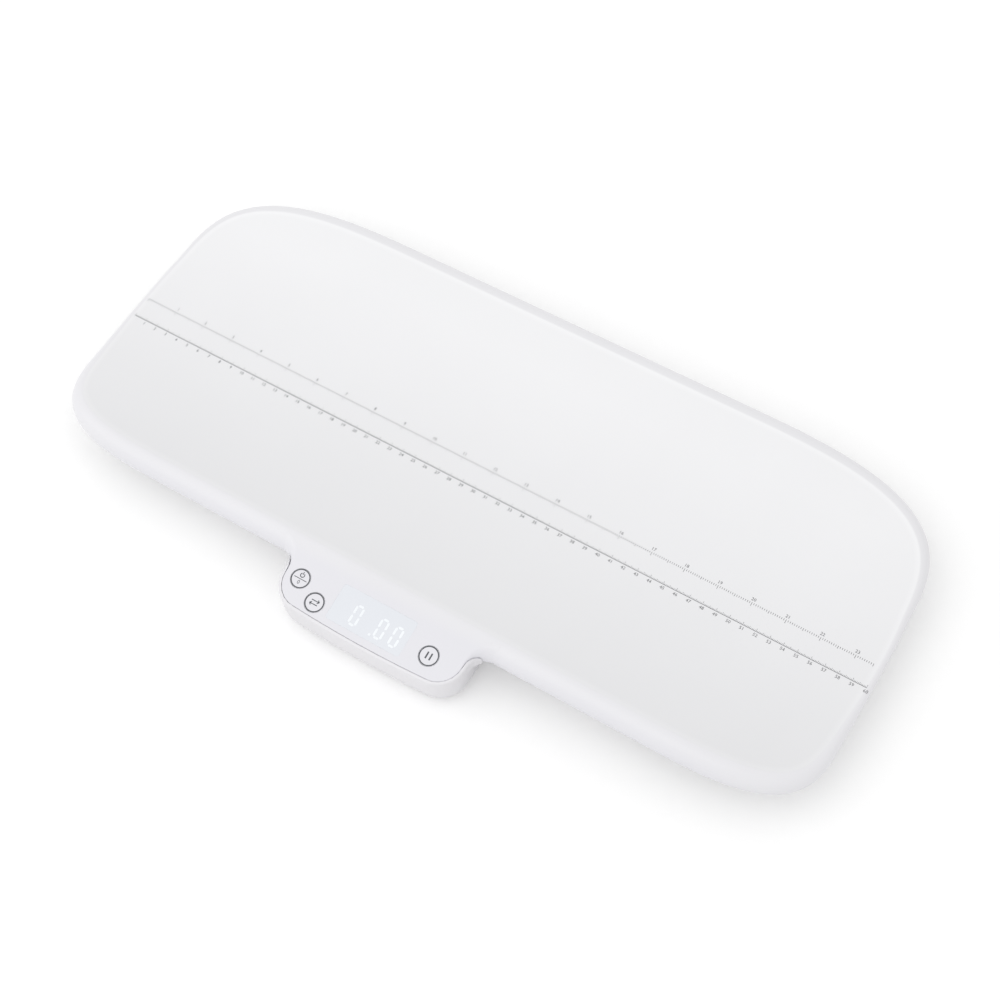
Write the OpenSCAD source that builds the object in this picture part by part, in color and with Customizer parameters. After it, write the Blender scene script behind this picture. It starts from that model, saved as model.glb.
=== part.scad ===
// Digital baby weighing scale. Lengths are in millimetres.
// +X runs along the tray, +Y from the console to the back, +Z up.
// The origin lies on the table, below the middle of the whole object.

/* [Tray] */
// Length of the tray from end to end
tray_l = 610; // [580:1:660]
// Depth of the tray from front to back
tray_w = 262; // [250:1:290]
// Thickness of the tray moulding
tray_wall = 2.6; // [2.2:0.1:3.2]
// Height of the lowest line of the tray's top above the table
tray_z = 32; // [31:0.5:38]
// Rise of the tray from its middle line to its long edges
trough_sag = 9; // [6:0.5:12]
// Height of the rolled rim at the middle of a short side
rim_h = 3; // [2.8:0.1:4]
// Straight skirt below the rolled rim
skirt_h = 0.6; // [0.4:0.1:2]
// How far the short sides bow outwards
side_bow = 0.9; // [0:0.1:3]
// Run of the back corners along the long side
back_run_x = 170; // [120:1:190]
// Run of the back corners along the short side
back_run_y = 96; // [70:1:110]
// Squareness of the back corners, where 2 is an ellipse
back_square = 3.1; // [2.2:0.1:4]
// Run of the front corners along the long side
front_run_x = 116; // [80:1:150]
// Run of the front corners along the short side
front_run_y = 70; // [50:1:100]
// Squareness of the front corners, where 2 is an ellipse
front_square = 3.4; // [2.2:0.1:4]
// Thickness of the ribs below the tray
rib_t = 1.8; // [1.2:0.1:2.5]

/* [Console] */
// Sideways place of the console, from the tray's middle
console_x = -4; // [-20:1:20]
// Width of the console between its straight sides
console_w = 142; // [136:1:160]
// How far the console reaches out in front of the tray
console_reach = 35; // [34:0.5:42]
// How far the console's front edge bows outwards
console_bow = 1.5; // [0:0.1:3]
// Radius of the console's front corners
console_corner_r = 18; // [14:0.5:18]
// Radius of the hollow corners where the console meets the tray
console_root_r = 15; // [10:0.5:15]
// Slope of the console's face
face_tilt = 10; // [6:0.5:12]
// Rounding of the face's outer edge
face_edge_r = 0.8; // [0.5:0.1:2]

/* [Keys] */
// Radius of a key's cap
key_r = 7.25; // [6:0.05:8]
// Gap all round a key in its hole
key_gap = 0.15; // [0.1:0.01:0.3]
// How far a key travels when it is pressed
key_travel = 0.5; // [0.3:0.05:0.8]
// Thickness of the collar that keeps a key in its hole
key_collar_t = 0.8; // [0.5:0.1:1.2]
// Radius of a switch's plunger
plunger_r = 1.7; // [1.2:0.05:2]
// Side of a square key switch
switch_side = 6; // [5:0.1:6.5]

/* [Display] */
// Width of the display window
window_w = 59; // [50:1:60]
// Depth of the display window
window_d = 27; // [24:0.5:28]
// Thickness of the display window
window_t = 1.2; // [0.8:0.1:1.6]
// Ledge that the window rests on
window_ledge = 2; // [1.5:0.1:3]
// Height of a lit digit
digit_h = 15.5; // [10:0.5:16]
// Thickness of the circuit board
board_t = 1.6; // [1:0.1:2]
// Depth of the circuit board's top below the face
board_depth = 10.5; // [10:0.1:13]

/* [Base] */
// Length of the base pan
pan_l = 410; // [380:1:450]
// Depth of the base pan
pan_w = 200; // [190:1:210]
// Radius of the pan's corners
pan_corner_r = 40; // [20:1:60]
// Thickness of the base moulding
base_wall = 2.4; // [2:0.1:3]
// Height of the base's underside above the table
base_z = 4.5; // [4.2:0.1:6]
// Gap of the shadow line between console cap and base
seam_gap = 0.4; // [0.2:0.1:0.8]
// How far the base's lip stands out round the console's cap
lip_out = 2.4; // [2:0.1:3]
// Rounding of the lip's outer edge
lip_edge_r = 1.8; // [0.8:0.1:2.2]
// Gap between the lip and the console's cap
lip_gap = 0.35; // [0.3:0.05:0.6]

/* [Feet] */
// Distance of a foot's middle from the pan's side
foot_side = 40; // [32:1:55]
// Distance of a foot's middle from the pan's front or back
foot_front = 38; // [32:1:45]
// Radius of a foot cup
foot_r = 13.5; // [12:0.1:14]
// Gap between a foot cup and its hole
foot_gap = 1; // [0.6:0.1:1.5]
// Side of the square weighing cell
cell_side = 34; // [32:0.5:36]
// Thickness of the weighing cell
cell_t = 2; // [1.5:0.1:2.5]

/* [Batteries] */
// Number of cells
battery_count = 4; // [3:1:4]
// Radius of a cell
battery_r = 5.25; // [5:0.05:5.3]
// Length of a cell with its nub
battery_l = 44.5; // [43:0.1:45]
// Radius of the door's hinge barrel
barrel_r = 2.9; // [2.7:0.1:3.2]
// Radius of the door's hinge pins
pin_r = 1.25; // [1:0.05:1.5]
// Thickness of the battery door
door_t = 1.6; // [1.2:0.1:2]

/* [Screws] */
// Radius of the housing screws' shanks
screw_r = 1.3; // [1:0.05:1.5]
// Radius of the housing screws' heads
screw_head_r = 2.8; // [2.2:0.1:3]
// Radius of the screw bosses
boss_r = 3.8; // [3.4:0.1:4.4]

/* [Hidden] */
$fn = 48;
tiny = 0.05;                 // running gap between pieces that touch in the real object
screw_gap = 0.05;            // gap between a screw's shank and its hole

// ---- places worked out from the sizes above ----
half_l = tray_l / 2;
half_w = tray_w / 2;
roll_guess = 12;             // the sag is measured this far inside the long edges
trough_y = half_w - roll_guess;
trough_r = (pow(trough_y, 2) + pow(trough_sag, 2)) / (2 * trough_sag);
rim_low = tray_z - rim_h;
skirt_z = rim_low - skirt_h;
tray_y = (console_reach + lip_out) / 2;
corner_steps = 12;
side_steps = 4;
long_steps = 5;
roll_steps = 4;
trough_rings = [0.9, 0.75, 0.6, 0.45, 0.3, 0.15];
min_inner_roll = 0.4;

function trough_z(y) = tray_z + trough_r - sqrt(pow(trough_r, 2) - pow(y, 2));
function flip(path, sx, sy) = [for (p = path) [sx * p[0], sy * p[1]]];
function backwards(path) = [for (k = [len(path) - 1:-1:0]) path[k]];
function tail(path) = [for (k = [1:len(path) - 1]) path[k]];
function arc(c, r, a0, a1, steps) =
    [for (k = [0:steps]) let (a = a0 + (a1 - a0) * k / steps) c + r * [cos(a), sin(a)]];
function lift(path, z) = [for (p = path) [p[0], p[1], z]];

// One quarter of the tray's edge, from the middle of a short side
function quarter(run_x, run_y, square) = concat(
    [for (k = [0:side_steps - 1]) let (s = k / side_steps)
        [half_l - side_bow * s * s, (half_w - run_y) * s]],
    [for (k = [0:corner_steps]) let (a = 90 * k / corner_steps)
        [half_l - side_bow - run_x * (1 - pow(cos(a), 2 / square)),
         half_w - run_y * (1 - pow(sin(a), 2 / square))]],
    [for (k = [1:long_steps - 1]) [(half_l - side_bow - run_x) * (1 - k / long_steps), half_w]]
);
back_quarter = quarter(back_run_x, back_run_y, back_square);
front_quarter = quarter(front_run_x, front_run_y, front_square);
tray_edge = concat(
    back_quarter, [[0, half_w]], backwards(flip(back_quarter, -1, 1)),
    tail(flip(front_quarter, -1, -1)), [[0, -half_w]],
    backwards(tail(flip(front_quarter, 1, -1)))
);

// Outward direction of a closed path at one of its points
function outward(path, k) = let (n = len(path), d = path[(k + 1) % n] - path[(k + n - 1) % n])
    [d[1], -d[0]] / norm(d);
tray_out = [for (k = [0:len(tray_edge) - 1]) outward(tray_edge, k)];

// Radius of the rolled rim, which grows as the tray's top rises to its edges
function roll_at(y, ny, tries = 3) = tries == 0 ? trough_z(y) - rim_low
    : trough_z(y - ny * roll_at(y, ny, tries - 1)) - rim_low;
tray_roll = [for (k = [0:len(tray_edge) - 1]) roll_at(tray_edge[k][1], tray_out[k][1])];
inner_roll = [for (r = tray_roll) max(r - tray_wall, min_inner_roll)];
front_roll = roll_at(half_w, 1);

// ---- console: its face is a plane that leaves the front rim where the rim slopes as it does ----
crest_y = -half_w + front_roll * (1 - sin(face_tilt));
crest_z = rim_low + front_roll * cos(face_tilt);
function face_z(y) = crest_z + (y - crest_y) * tan(face_tilt);
console_half = console_w / 2;
console_front = -half_w - console_reach + console_bow;
root_x = console_half + console_root_r;
arc_steps = 6;
front_steps = 6;
root_run = half_w + crest_y;
root_rise = crest_z - rim_low;
embed = tray_wall / 2;       // the console's block ends in the middle of the rim's wall

// The console's edge from its left root round the front to its right root, moved inwards
function console_edge(inset) = let (
    side = arc([-root_x, -half_w - console_root_r], console_root_r + inset, 90, 0, arc_steps),
    corner = arc([-console_half + console_corner_r, console_front + console_corner_r],
        console_corner_r - inset, 180, 270, arc_steps),
    half = console_half - console_corner_r,
    front = [for (k = [1:front_steps - 1]) let (s = 2 * k / front_steps - 1)
        [half * s, console_front + inset - console_bow * (1 - s * s)]]
) concat(side, corner, front, backwards(flip(corner, -1, 1)), backwards(flip(side, -1, 1)));

function ease(t) = t * t * (3 - 2 * t);
// How far along the hollow root corner a point of the edge is: 1 at the tray, 0 on the console
function root_share(k, n) = ease(max(0, 1 - k / arc_steps, 1 - (n - 1 - k) / arc_steps));
function path_out(path, k) = let (n = len(path), d = path[min(k + 1, n - 1)] - path[max(k - 1, 0)])
    k == 0 || k == n - 1 ? [0, -1] : [d[1], -d[0]] / norm(d);

// A ring round the console's block at one angle of its rounded edge, with a point inside
// the tray's rim at each end
function console_ring(inset, a, back) = let (
    path = console_edge(inset), n = len(path),
    share = [for (k = [0:n - 1]) root_share(k, n)],
    across = [for (s = share) max(face_edge_r + (root_run - face_edge_r) * s - inset, min_inner_roll)],
    down = [for (s = share) max(face_edge_r + (root_rise - face_edge_r) * s - inset, min_inner_roll)],
    ring = [for (k = [0:n - 1]) let (
        o = path_out(path, k), q = path[k] - o * across[k],
        p = q + o * across[k] * cos(a))
        [p[0], p[1], face_z(q[1]) - inset - down[k] * (1 - sin(a))]]
) concat([[ring[0][0], back[0], back[1]]], ring, [[ring[n - 1][0], back[0], back[1]]]);

// ---- closed solids from rings of points ----
function strip_faces(n, m, start = 0) = [
    for (j = [0:m - 2]) for (k = [0:n - 1]) let (
        a = start + j * n + k, b = start + j * n + (k + 1) % n)
    each [[a, b, b + n], [a, b + n, a + n]]
];
// Rings closed by a point at each end
module tipped_rings(rings, first, last) {
    n = len(rings[0]);
    m = len(rings);
    end = n * m + 1;
    polyhedron(
        points = concat([first], [for (r = rings) each r], [last]),
        faces = concat(
            [for (k = [0:n - 1]) [0, 1 + (k + 1) % n, 1 + k]],
            strip_faces(n, m, 1),
            [for (k = [0:n - 1]) [end, end - n + k, end - n + (k + 1) % n]]
        )
    );
}
// Strips across a ring whose points pair up from both ends, facing up or down
function rise_and_run(a, b) = abs(a[1] - b[1]) + abs(a[2] - b[2]);
function flat_strip(ring, k) = let (n = len(ring)) k < ceil(n / 2) - 1
    && rise_and_run(ring[k], ring[k + 1]) < 0.01 && rise_and_run(ring[n - 1 - k], ring[n - 2 - k]) < 0.01;
function cap_faces(ring, start, up) = let (n = len(ring)) [
    for (k = [0:ceil(n / 2) - 2]) if (!flat_strip(ring, k)) let (
        a = start + k, b = a + 1, c = start + n - 2 - k, d = c + 1,
        face = b == c ? [a, b, d] : flat_strip(ring, k + 1) ? [a, b, b + 1, c - 1, c, d] : [a, b, c, d])
    up ? backwards(face) : face
];
// Rings of such points, from the top one to the bottom one
module stacked_rings(rings) {
    n = len(rings[0]);
    m = len(rings);
    polyhedron(
        points = [for (r = rings) each r],
        faces = concat(cap_faces(rings[0], 0, true), strip_faces(n, m),
            cap_faces(rings[m - 1], n * (m - 1), false))
    );
}

module in_tray_frame() translate([0, tray_y, 0]) children();

// ---- tray ----
function tray_ring(share, drop) = [for (k = [0:len(tray_edge) - 1]) let (
    p = (tray_edge[k] - tray_out[k] * tray_roll[k]) * share)
    [p[0], p[1], trough_z(p[1]) - drop]];
function rim_ring(rolls, a) = [for (k = [0:len(tray_edge) - 1]) let (
    p = tray_edge[k] - tray_out[k] * (tray_roll[k] - rolls[k] * cos(a)))
    [p[0], p[1], rim_low + rolls[k] * sin(a)]];
function skirt_ring(rolls) = [for (k = [0:len(tray_edge) - 1]) let (
    p = tray_edge[k] - tray_out[k] * (tray_roll[k] - rolls[k]))
    [p[0], p[1], skirt_z]];

module tray_skin() {
    tipped_rings(
        concat(
            [for (s = backwards(trough_rings)) tray_ring(s, 0)],
            [for (k = [roll_steps:-1:0]) rim_ring(tray_roll, 90 * k / roll_steps)],
            [skirt_ring(tray_roll), skirt_ring(inner_roll)],
            [for (k = [0:roll_steps]) rim_ring(inner_roll, 90 * k / roll_steps)],
            [for (s = trough_rings) tray_ring(s, tray_wall)]
        ),
        [0, 0, tray_z], [0, 0, tray_z - tray_wall]
    );
}

// The console's cap without its hollow
module console_block() {
    rise = root_rise - embed;
    run = root_run - embed;
    turns = [for (k = [roll_steps:-1:0]) 90 * k / roll_steps];
    rings = concat(
        [for (a = turns) console_ring(0, a, [crest_y - run * cos(a), rim_low + rise * sin(a)])],
        [let (low = console_ring(0, 0, [crest_y - run, skirt_z])) [for (p = low) [p[0], p[1], skirt_z]]]
    );
    stacked_rings(rings);
}
// The hollow below the console's face
module console_hollow() {
    back_y = crest_y + embed;
    turns = [for (k = [roll_steps:-1:0]) 90 * k / roll_steps];
    rise = root_rise - tray_wall;
    rings = concat(
        [for (a = turns)
            console_ring(tray_wall, a, [back_y, face_z(back_y) - tray_wall - rise * (1 - sin(a))])],
        [let (low = console_ring(tray_wall, 0, [back_y, 0])) [for (p = low) [p[0], p[1], skirt_z - 1]]]
    );
    stacked_rings(rings);
}

// Places on the console's sloping face: u to the right, v up the slope, w outwards
face_y = -half_w - 16;         // middle of the face, between the rim and the console's front
module on_face(u = 0, v = 0, w = 0) {
    translate([console_x, face_y, face_z(face_y)]) rotate([face_tilt, 0, 0]) translate([u, v, w]) children();
}
key_places = [[-59, 0.8], [-41.2, -9], [47.3, -3.5]];
collar_extra = 1.3;
lug_w = 7;
key_collar_w = -tray_wall - tiny - key_collar_t;
key_well = key_travel + 0.4 - key_collar_w;  // depth of a key's hole, with the key's travel
window_v = -0.8;
window_corner_r = 2;
module rounded_plate(w, d, t, r) {
    union() {
        translate([-w / 2 + r, -d / 2, 0]) cube([w - 2 * r, d, t]);
        translate([-w / 2, -d / 2 + r, 0]) cube([w, d - 2 * r, t]);
        for (x = [-w / 2 + r, w / 2 - r], y = [-d / 2 + r, d / 2 - r]) translate([x, y, 0]) cylinder(r = r, h = t);
    }
}
window_gap = 0.1;

// Bosses that carry the circuit board
board_bosses = [[-31, 9.5], [31, 9.5], [-30.5, -11.2], [34, -11.2]];
board_boss_r = 1.9;
board_screw_r = 0.9;
board_screw_l = 6;

// Screws that join the tray to the base
split_z = 20;                // the tray's bosses stand on the base's posts here
housing_places = concat(
    [for (x = [-1, 1], y = [-1, 1]) [x * 120, y * (pan_w / 2 - 16)]],
    [for (x = [-1, 1]) [x * (pan_l / 2 - 12), 0]],
    [for (x = [-1, 1]) [console_x + x * 55, -pan_w / 2 - 8]]
);
screw_grip = 9;              // length of a screw inside the tray's boss
screw_seat = 5;              // thickness of the post's end that the head holds
screw_head_h = 2;
module tray_bosses() {
    for (p = housing_places) translate([p[0], p[1], split_z])
        cylinder(r = boss_r, h = trough_z(p[1]) - tray_wall / 2 - split_z);
    for (b = board_bosses) on_face(b[0], b[1], -board_depth)
        cylinder(r = board_boss_r, h = board_depth - tray_wall / 2);
}
module tray_boss_holes() {
    for (p = housing_places) translate([p[0], p[1], split_z - 1])
        cylinder(r = screw_r + screw_gap, h = screw_grip + 1.5);
    for (b = board_bosses) on_face(b[0], b[1], -board_depth - 1)
        cylinder(r = board_screw_r + screw_gap, h = board_screw_l - board_t + 1.5);
}

// Ribs below the tray: those inside the base are deep, those past its ends are shallow
inner_ribs = [45, 90, 145];
outer_ribs = [222, 246, 270];
rib_low = 24;
module cross_rib(x, low, reach) {
    translate([x - rib_t / 2, 0, 0]) rotate([90, 0, 90]) linear_extrude(rib_t) difference() {
        translate([-reach, low]) square([2 * reach, trough_r]);
        translate([0, tray_z + trough_r]) circle(r = trough_r + tray_wall / 2, $fn = 400);
        translate([-reach - 1, trough_z(reach) + 1]) square([2 * reach + 2, trough_r + 100]);
    }
}
module tray_ribs() {
    for (x = inner_ribs, s = [-1, 1]) cross_rib(s * x, rib_low, pan_w / 2 - base_wall - 5);
    for (x = outer_ribs, s = [-1, 1]) cross_rib(s * x, skirt_z, half_w - front_run_y + 20);
}

module tray_shell() {
    color("white") in_tray_frame() difference() {
        union() {
            tray_skin();
            translate([console_x, 0, 0]) difference() {
                console_block();
                console_hollow();
            }
            tray_bosses();
            tray_ribs();
        }
        tray_boss_holes();
        for (p = key_places) on_face(p[0], p[1], -key_well)
            cylinder(r = key_r + key_gap, h = key_well + 1);
        on_face(0, window_v, -window_t)
            rounded_plate(window_w + 2 * window_gap, window_d + 2 * window_gap, window_t + 1, window_corner_r);
        on_face(0, window_v, -tray_wall - 1)
            rounded_plate(window_w - 2 * window_ledge, window_d - 2 * window_ledge, tray_wall, window_corner_r);
    }
}

// ---- display ----
module display_window() {
    color("aliceblue") in_tray_frame() on_face(0, window_v, -window_t + tiny)
        rounded_plate(window_w, window_d, window_t - tiny, window_corner_r);
}
module_w = window_w - 2 * window_ledge - 1;
module_d = window_d - 2 * window_ledge - 1;
diffuser_t = 0.4;
module_top = -window_t - diffuser_t - tiny;
module display_diffuser() {
    color("ghostwhite") in_tray_frame() on_face(0, window_v, module_top + tiny / 2)
        rounded_plate(module_w, module_d, diffuser_t, window_corner_r);
}

// A digit is seven bars; the point stands before the last two digits
digit_w = digit_h * 0.44;
digit_v = -2.4;              // height of the digits' middle from the window's middle
bar_t = digit_h * 0.11;
bar_gap = digit_h * 0.025;
digit_places = [-10.7, 9.4, 21];
point_place = 4;
segment_depth = 0.6;
module bar(length) {
    polygon([[-length / 2, 0], [-length / 2 + bar_t / 2, bar_t / 2], [length / 2 - bar_t / 2, bar_t / 2],
        [length / 2, 0], [length / 2 - bar_t / 2, -bar_t / 2], [-length / 2 + bar_t / 2, -bar_t / 2]]);
}
module digit_bars() {
    half = digit_h / 2 - bar_t / 2;
    across = digit_w - bar_t - 2 * bar_gap;
    up = half - 2 * bar_gap;
    for (v = [-half, 0, half]) translate([0, v]) bar(across);
    for (u = [-1, 1], v = [-1, 1]) translate([u * (digit_w - bar_t) / 2, v * half / 2]) rotate(90) bar(up);
}
module display_marks() {
    translate([0, digit_v]) {
        for (u = digit_places) translate([u, 0]) digit_bars();
        translate([point_place, -digit_h / 2 + bar_t / 2]) circle(r = bar_t * 0.55, $fn = 16);
    }
}
module display_segments() {
    color("white") in_tray_frame() on_face(0, window_v, module_top - segment_depth)
        linear_extrude(segment_depth) display_marks();
}
module display_module() {
    color("whitesmoke") in_tray_frame() difference() {
        on_face(0, window_v, -board_depth)
            rounded_plate(module_w, module_d, board_depth + module_top, window_corner_r);
        on_face(0, window_v, module_top - segment_depth) linear_extrude(segment_depth + 1) display_marks();
    }
}

// ---- keys ----
switch_h = 3.4;
plunger_top = -board_depth + switch_h + key_travel + 0.4;
plunger_seat = -board_depth + switch_h - 1.4;
stem_r = 2;
module key(k) {
    p = key_places[k];
    in_tray_frame() {
        on_face(p[0], p[1], key_collar_w) cylinder(r = key_r, h = -key_collar_w);
        // the collar is two lugs, left and right, since the console's wall is close in front
        on_face(p[0], p[1], key_collar_w) intersection() {
            cylinder(r = key_r + collar_extra, h = key_collar_t);
            translate([-key_r - collar_extra, -lug_w / 2, 0])
                cube([2 * (key_r + collar_extra), lug_w, key_collar_t]);
        }
        on_face(p[0], p[1], plunger_top) cylinder(r = stem_r, h = key_collar_w - plunger_top + tiny);
    }
}
module key_power_tare() { color("white") union() key(0); }
module key_unit() { color("white") union() key(1); }
module key_hold() { color("white") union() key(2); }

module plunger(k) {
    p = key_places[k];
    color("dimgray") in_tray_frame() on_face(p[0], p[1], plunger_seat + key_travel + tiny)
        cylinder(r = plunger_r, h = plunger_top - plunger_seat - key_travel - tiny);
}
module plunger_power_tare() { plunger(0); }
module plunger_unit() { plunger(1); }
module plunger_hold() { plunger(2); }

module key_switches() {
    color("black") in_tray_frame() for (p = key_places) difference() {
        on_face(p[0], p[1], -board_depth) translate([-switch_side / 2, -switch_side / 2, 0])
            cube([switch_side, switch_side, switch_h]);
        on_face(p[0], p[1], plunger_seat) cylinder(r = plunger_r + 0.08, h = switch_h);
    }
}

// ---- circuit board ----
board_half = 64;
board_front = -14;
board_back = 13;
board_chamfer = 12;
under_board = -board_depth - board_t;
module main_board() {
    color("seagreen") in_tray_frame() difference() {
        on_face(0, 0, under_board) linear_extrude(board_t) polygon([
            [-board_half, board_back], [-board_half, board_front + board_chamfer],
            [-board_half + board_chamfer, board_front], [board_half - board_chamfer, board_front],
            [board_half, board_front + board_chamfer], [board_half, board_back]]);
        for (b = board_bosses) on_face(b[0], b[1], under_board - 1)
            cylinder(r = board_screw_r + 0.2, h = board_t + 2);
    }
}
chip_v = -2;
chip_h = 1.4;
control_chip_u = -6;
control_chip_side = 12;
module control_chip() {
    color("black") in_tray_frame() on_face(control_chip_u, chip_v, under_board - chip_h)
        translate([-control_chip_side / 2, -control_chip_side / 2, 0])
            cube([control_chip_side, control_chip_side, chip_h]);
}
weighing_chip_u = 16;
weighing_chip_l = 10;
weighing_chip_w = 4;
module weighing_chip() {
    color("black") in_tray_frame() on_face(weighing_chip_u, chip_v, under_board - chip_h)
        translate([-weighing_chip_l / 2, -weighing_chip_w / 2, 0])
            cube([weighing_chip_l, weighing_chip_w, chip_h]);
}
can_u = -22;
can_r = 2.5;
can_h = 3.5;
crystal_u = 27;
crystal_l = 10;
crystal_w = 4.4;
crystal_h = 3;
small_part_u = [-18, -14, 20, 24];
small_part_v = -9;
small_part_l = 2;
small_part_w = 1.2;
small_part_h = 0.8;
module board_parts() {
    color("silver") in_tray_frame() {
        on_face(can_u, 0, under_board - can_h) cylinder(r = can_r, h = can_h);
        on_face(crystal_u, chip_v, under_board - crystal_h) translate([-crystal_w / 2, -crystal_l / 2, 0])
            cube([crystal_w, crystal_l, crystal_h]);
        for (u = small_part_u) on_face(u, small_part_v, under_board - small_part_h)
            translate([-small_part_l / 2, -small_part_w / 2, 0])
                cube([small_part_l, small_part_w, small_part_h]);
    }
}
socket_v = 7.5;
socket_h = 5;
lead_gap = 6;                // distance between the two cell leads on each side
lead_in = 36;                // sideways distance of the inner leads from the console's middle
lead_r = 1.1;
module lead_sockets() {
    color("ivory") in_tray_frame() {
        for (s = [-1, 1]) on_face(s * (lead_in + lead_gap / 2), socket_v, under_board - socket_h)
            translate([-lead_gap / 2 - 2.2, -2.5, 0]) cube([lead_gap + 4.4, 5, socket_h]);
        on_face(0, socket_v, under_board - socket_h) translate([-3.5, -2.5, 0]) cube([7, 5, socket_h]);
    }
}
board_screw_head = 1.1;
module board_screws() {
    color("silver") in_tray_frame() for (b = board_bosses) on_face(b[0], b[1], under_board) union() {
        translate([0, 0, -tiny]) cylinder(r = board_screw_r, h = board_screw_l + tiny);
        translate([0, 0, -board_screw_head]) cylinder(r = 1.7, h = board_screw_head);
    }
}

// ---- base ----
base_seam = skirt_z - seam_gap;
floor_top = base_z + base_wall;
pan_steps = 7;
neck_r = 12;
top_inset = 0.6;             // how far the base's walls stand in from its widest edge
nose_out = lip_out + top_inset;
// The base's edge seen from above, moved inwards
function base_edge(inset) = let (
    x = pan_l / 2 - pan_corner_r, y = pan_w / 2 - pan_corner_r, r = pan_corner_r - inset,
    neck = arc([console_half + nose_out + neck_r, -pan_w / 2 - neck_r], neck_r + inset, 180, 90, arc_steps),
    nose = [for (p = console_edge(inset - nose_out)) if (p[1] < -half_w - console_root_r + tiny) p + [console_x, 0]]
) concat(
    arc([-x, y], r, 90, 180, pan_steps), arc([-x, -y], r, 180, 270, pan_steps),
    [for (p = backwards(flip(neck, -1, 1))) p + [console_x, 0]],
    nose,
    [for (p = neck) p + [console_x, 0]],
    arc([x, -y], r, 270, 360, pan_steps), arc([x, y], r, 0, 90, pan_steps)
);
base_top = trough_z(half_w);
// Height of each ring of the base's wall and how far it stands in from the edge
base_profile = [[base_top, top_inset], [base_seam, top_inset], [21, 0.65], [15, 0.85],
    [base_z + 5, 1.4], [base_z + 1.6, 2.9], [base_z, 5]];

// The lip round the console's cap follows the face and thins out at the hollow corners
lip_low = base_seam - 1;
lip_drop = 0.15;             // the lip lies this far below the face's plane
lip_back = 3;                // the lip ends this far in front of the tray's rim
lip_ends = -half_w + 20;     // its block is closed here, behind all its points
function lip_ring(a) = let (
    path = console_edge(0), n = len(path),
    share = [for (k = [0:n - 1]) root_share(k, n)],
    ring = [for (k = [0:n - 1]) let (
        o = path_out(path, k),
        across = lip_edge_r + (root_run - lip_edge_r) * share[k],
        down = lip_edge_r + (root_rise - lip_edge_r) * share[k],
        q = path[k] + o * (lip_out * (1 - share[k]) - across),
        p = q + o * across * cos(a))
        [p[0], p[1], face_z(q[1]) - lip_drop - down * (1 - sin(a))]]
) concat([[ring[0][0], lip_ends, ring[0][2]]], ring, [[ring[n - 1][0], lip_ends, ring[n - 1][2]]]);
module console_lip() {
    turns = [for (k = [roll_steps:-1:0]) 90 * k / roll_steps];
    translate([console_x, 0, 0]) difference() {
        stacked_rings(concat([for (a = turns) lip_ring(a)],
            [[for (p = lip_ring(0)) [p[0], p[1], lip_low]]]));
        linear_extrude(base_top + 10)
            polygon(concat(console_edge(-lip_gap), [[root_x, lip_ends + 5], [-root_x, lip_ends + 5]]));
        translate([-tray_w, -half_w - lip_back, 0]) cube([2 * tray_w, half_w, base_top + 10]);
    }
}

bay_y = 34;                  // middle of the battery bay, from the tray's middle
bay_gap = 0.4;               // free width beside each cell
bay_w = battery_count * (2 * battery_r + bay_gap);
plate_t = 0.5;
spring_l = 4;
bay_l = battery_l + spring_l + 2 * plate_t + 1;
door_gap = 0.4;
door_z = base_z;
cell_z = door_z + door_t + 0.5 + battery_r;
bay_roof = cell_z + battery_r + 0.5;
bay_wall = 1.8;
hinge_wall = 1.2;
hinge_y = bay_y - bay_w / 2 - hinge_wall - barrel_r - door_gap;
hinge_z = base_z + barrel_r;
door_end = bay_y + bay_w / 2 + 3;
cheek_t = 3;
barrel_l = bay_l;
pin_l = 2.4;
pin_gap = 0.06;

foot_x = pan_l / 2 - foot_side;
foot_y = pan_w / 2 - foot_front;
seat_wall = 3;
seat_z = 11;
cell_gap = 0.2;
foot_places = [[-foot_x, -foot_y], [foot_x, -foot_y], [-foot_x, foot_y], [foot_x, foot_y]];
seat_side = cell_side + 2 * cell_gap + 2 * seat_wall;
post_r = boss_r + 0.8;

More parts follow.
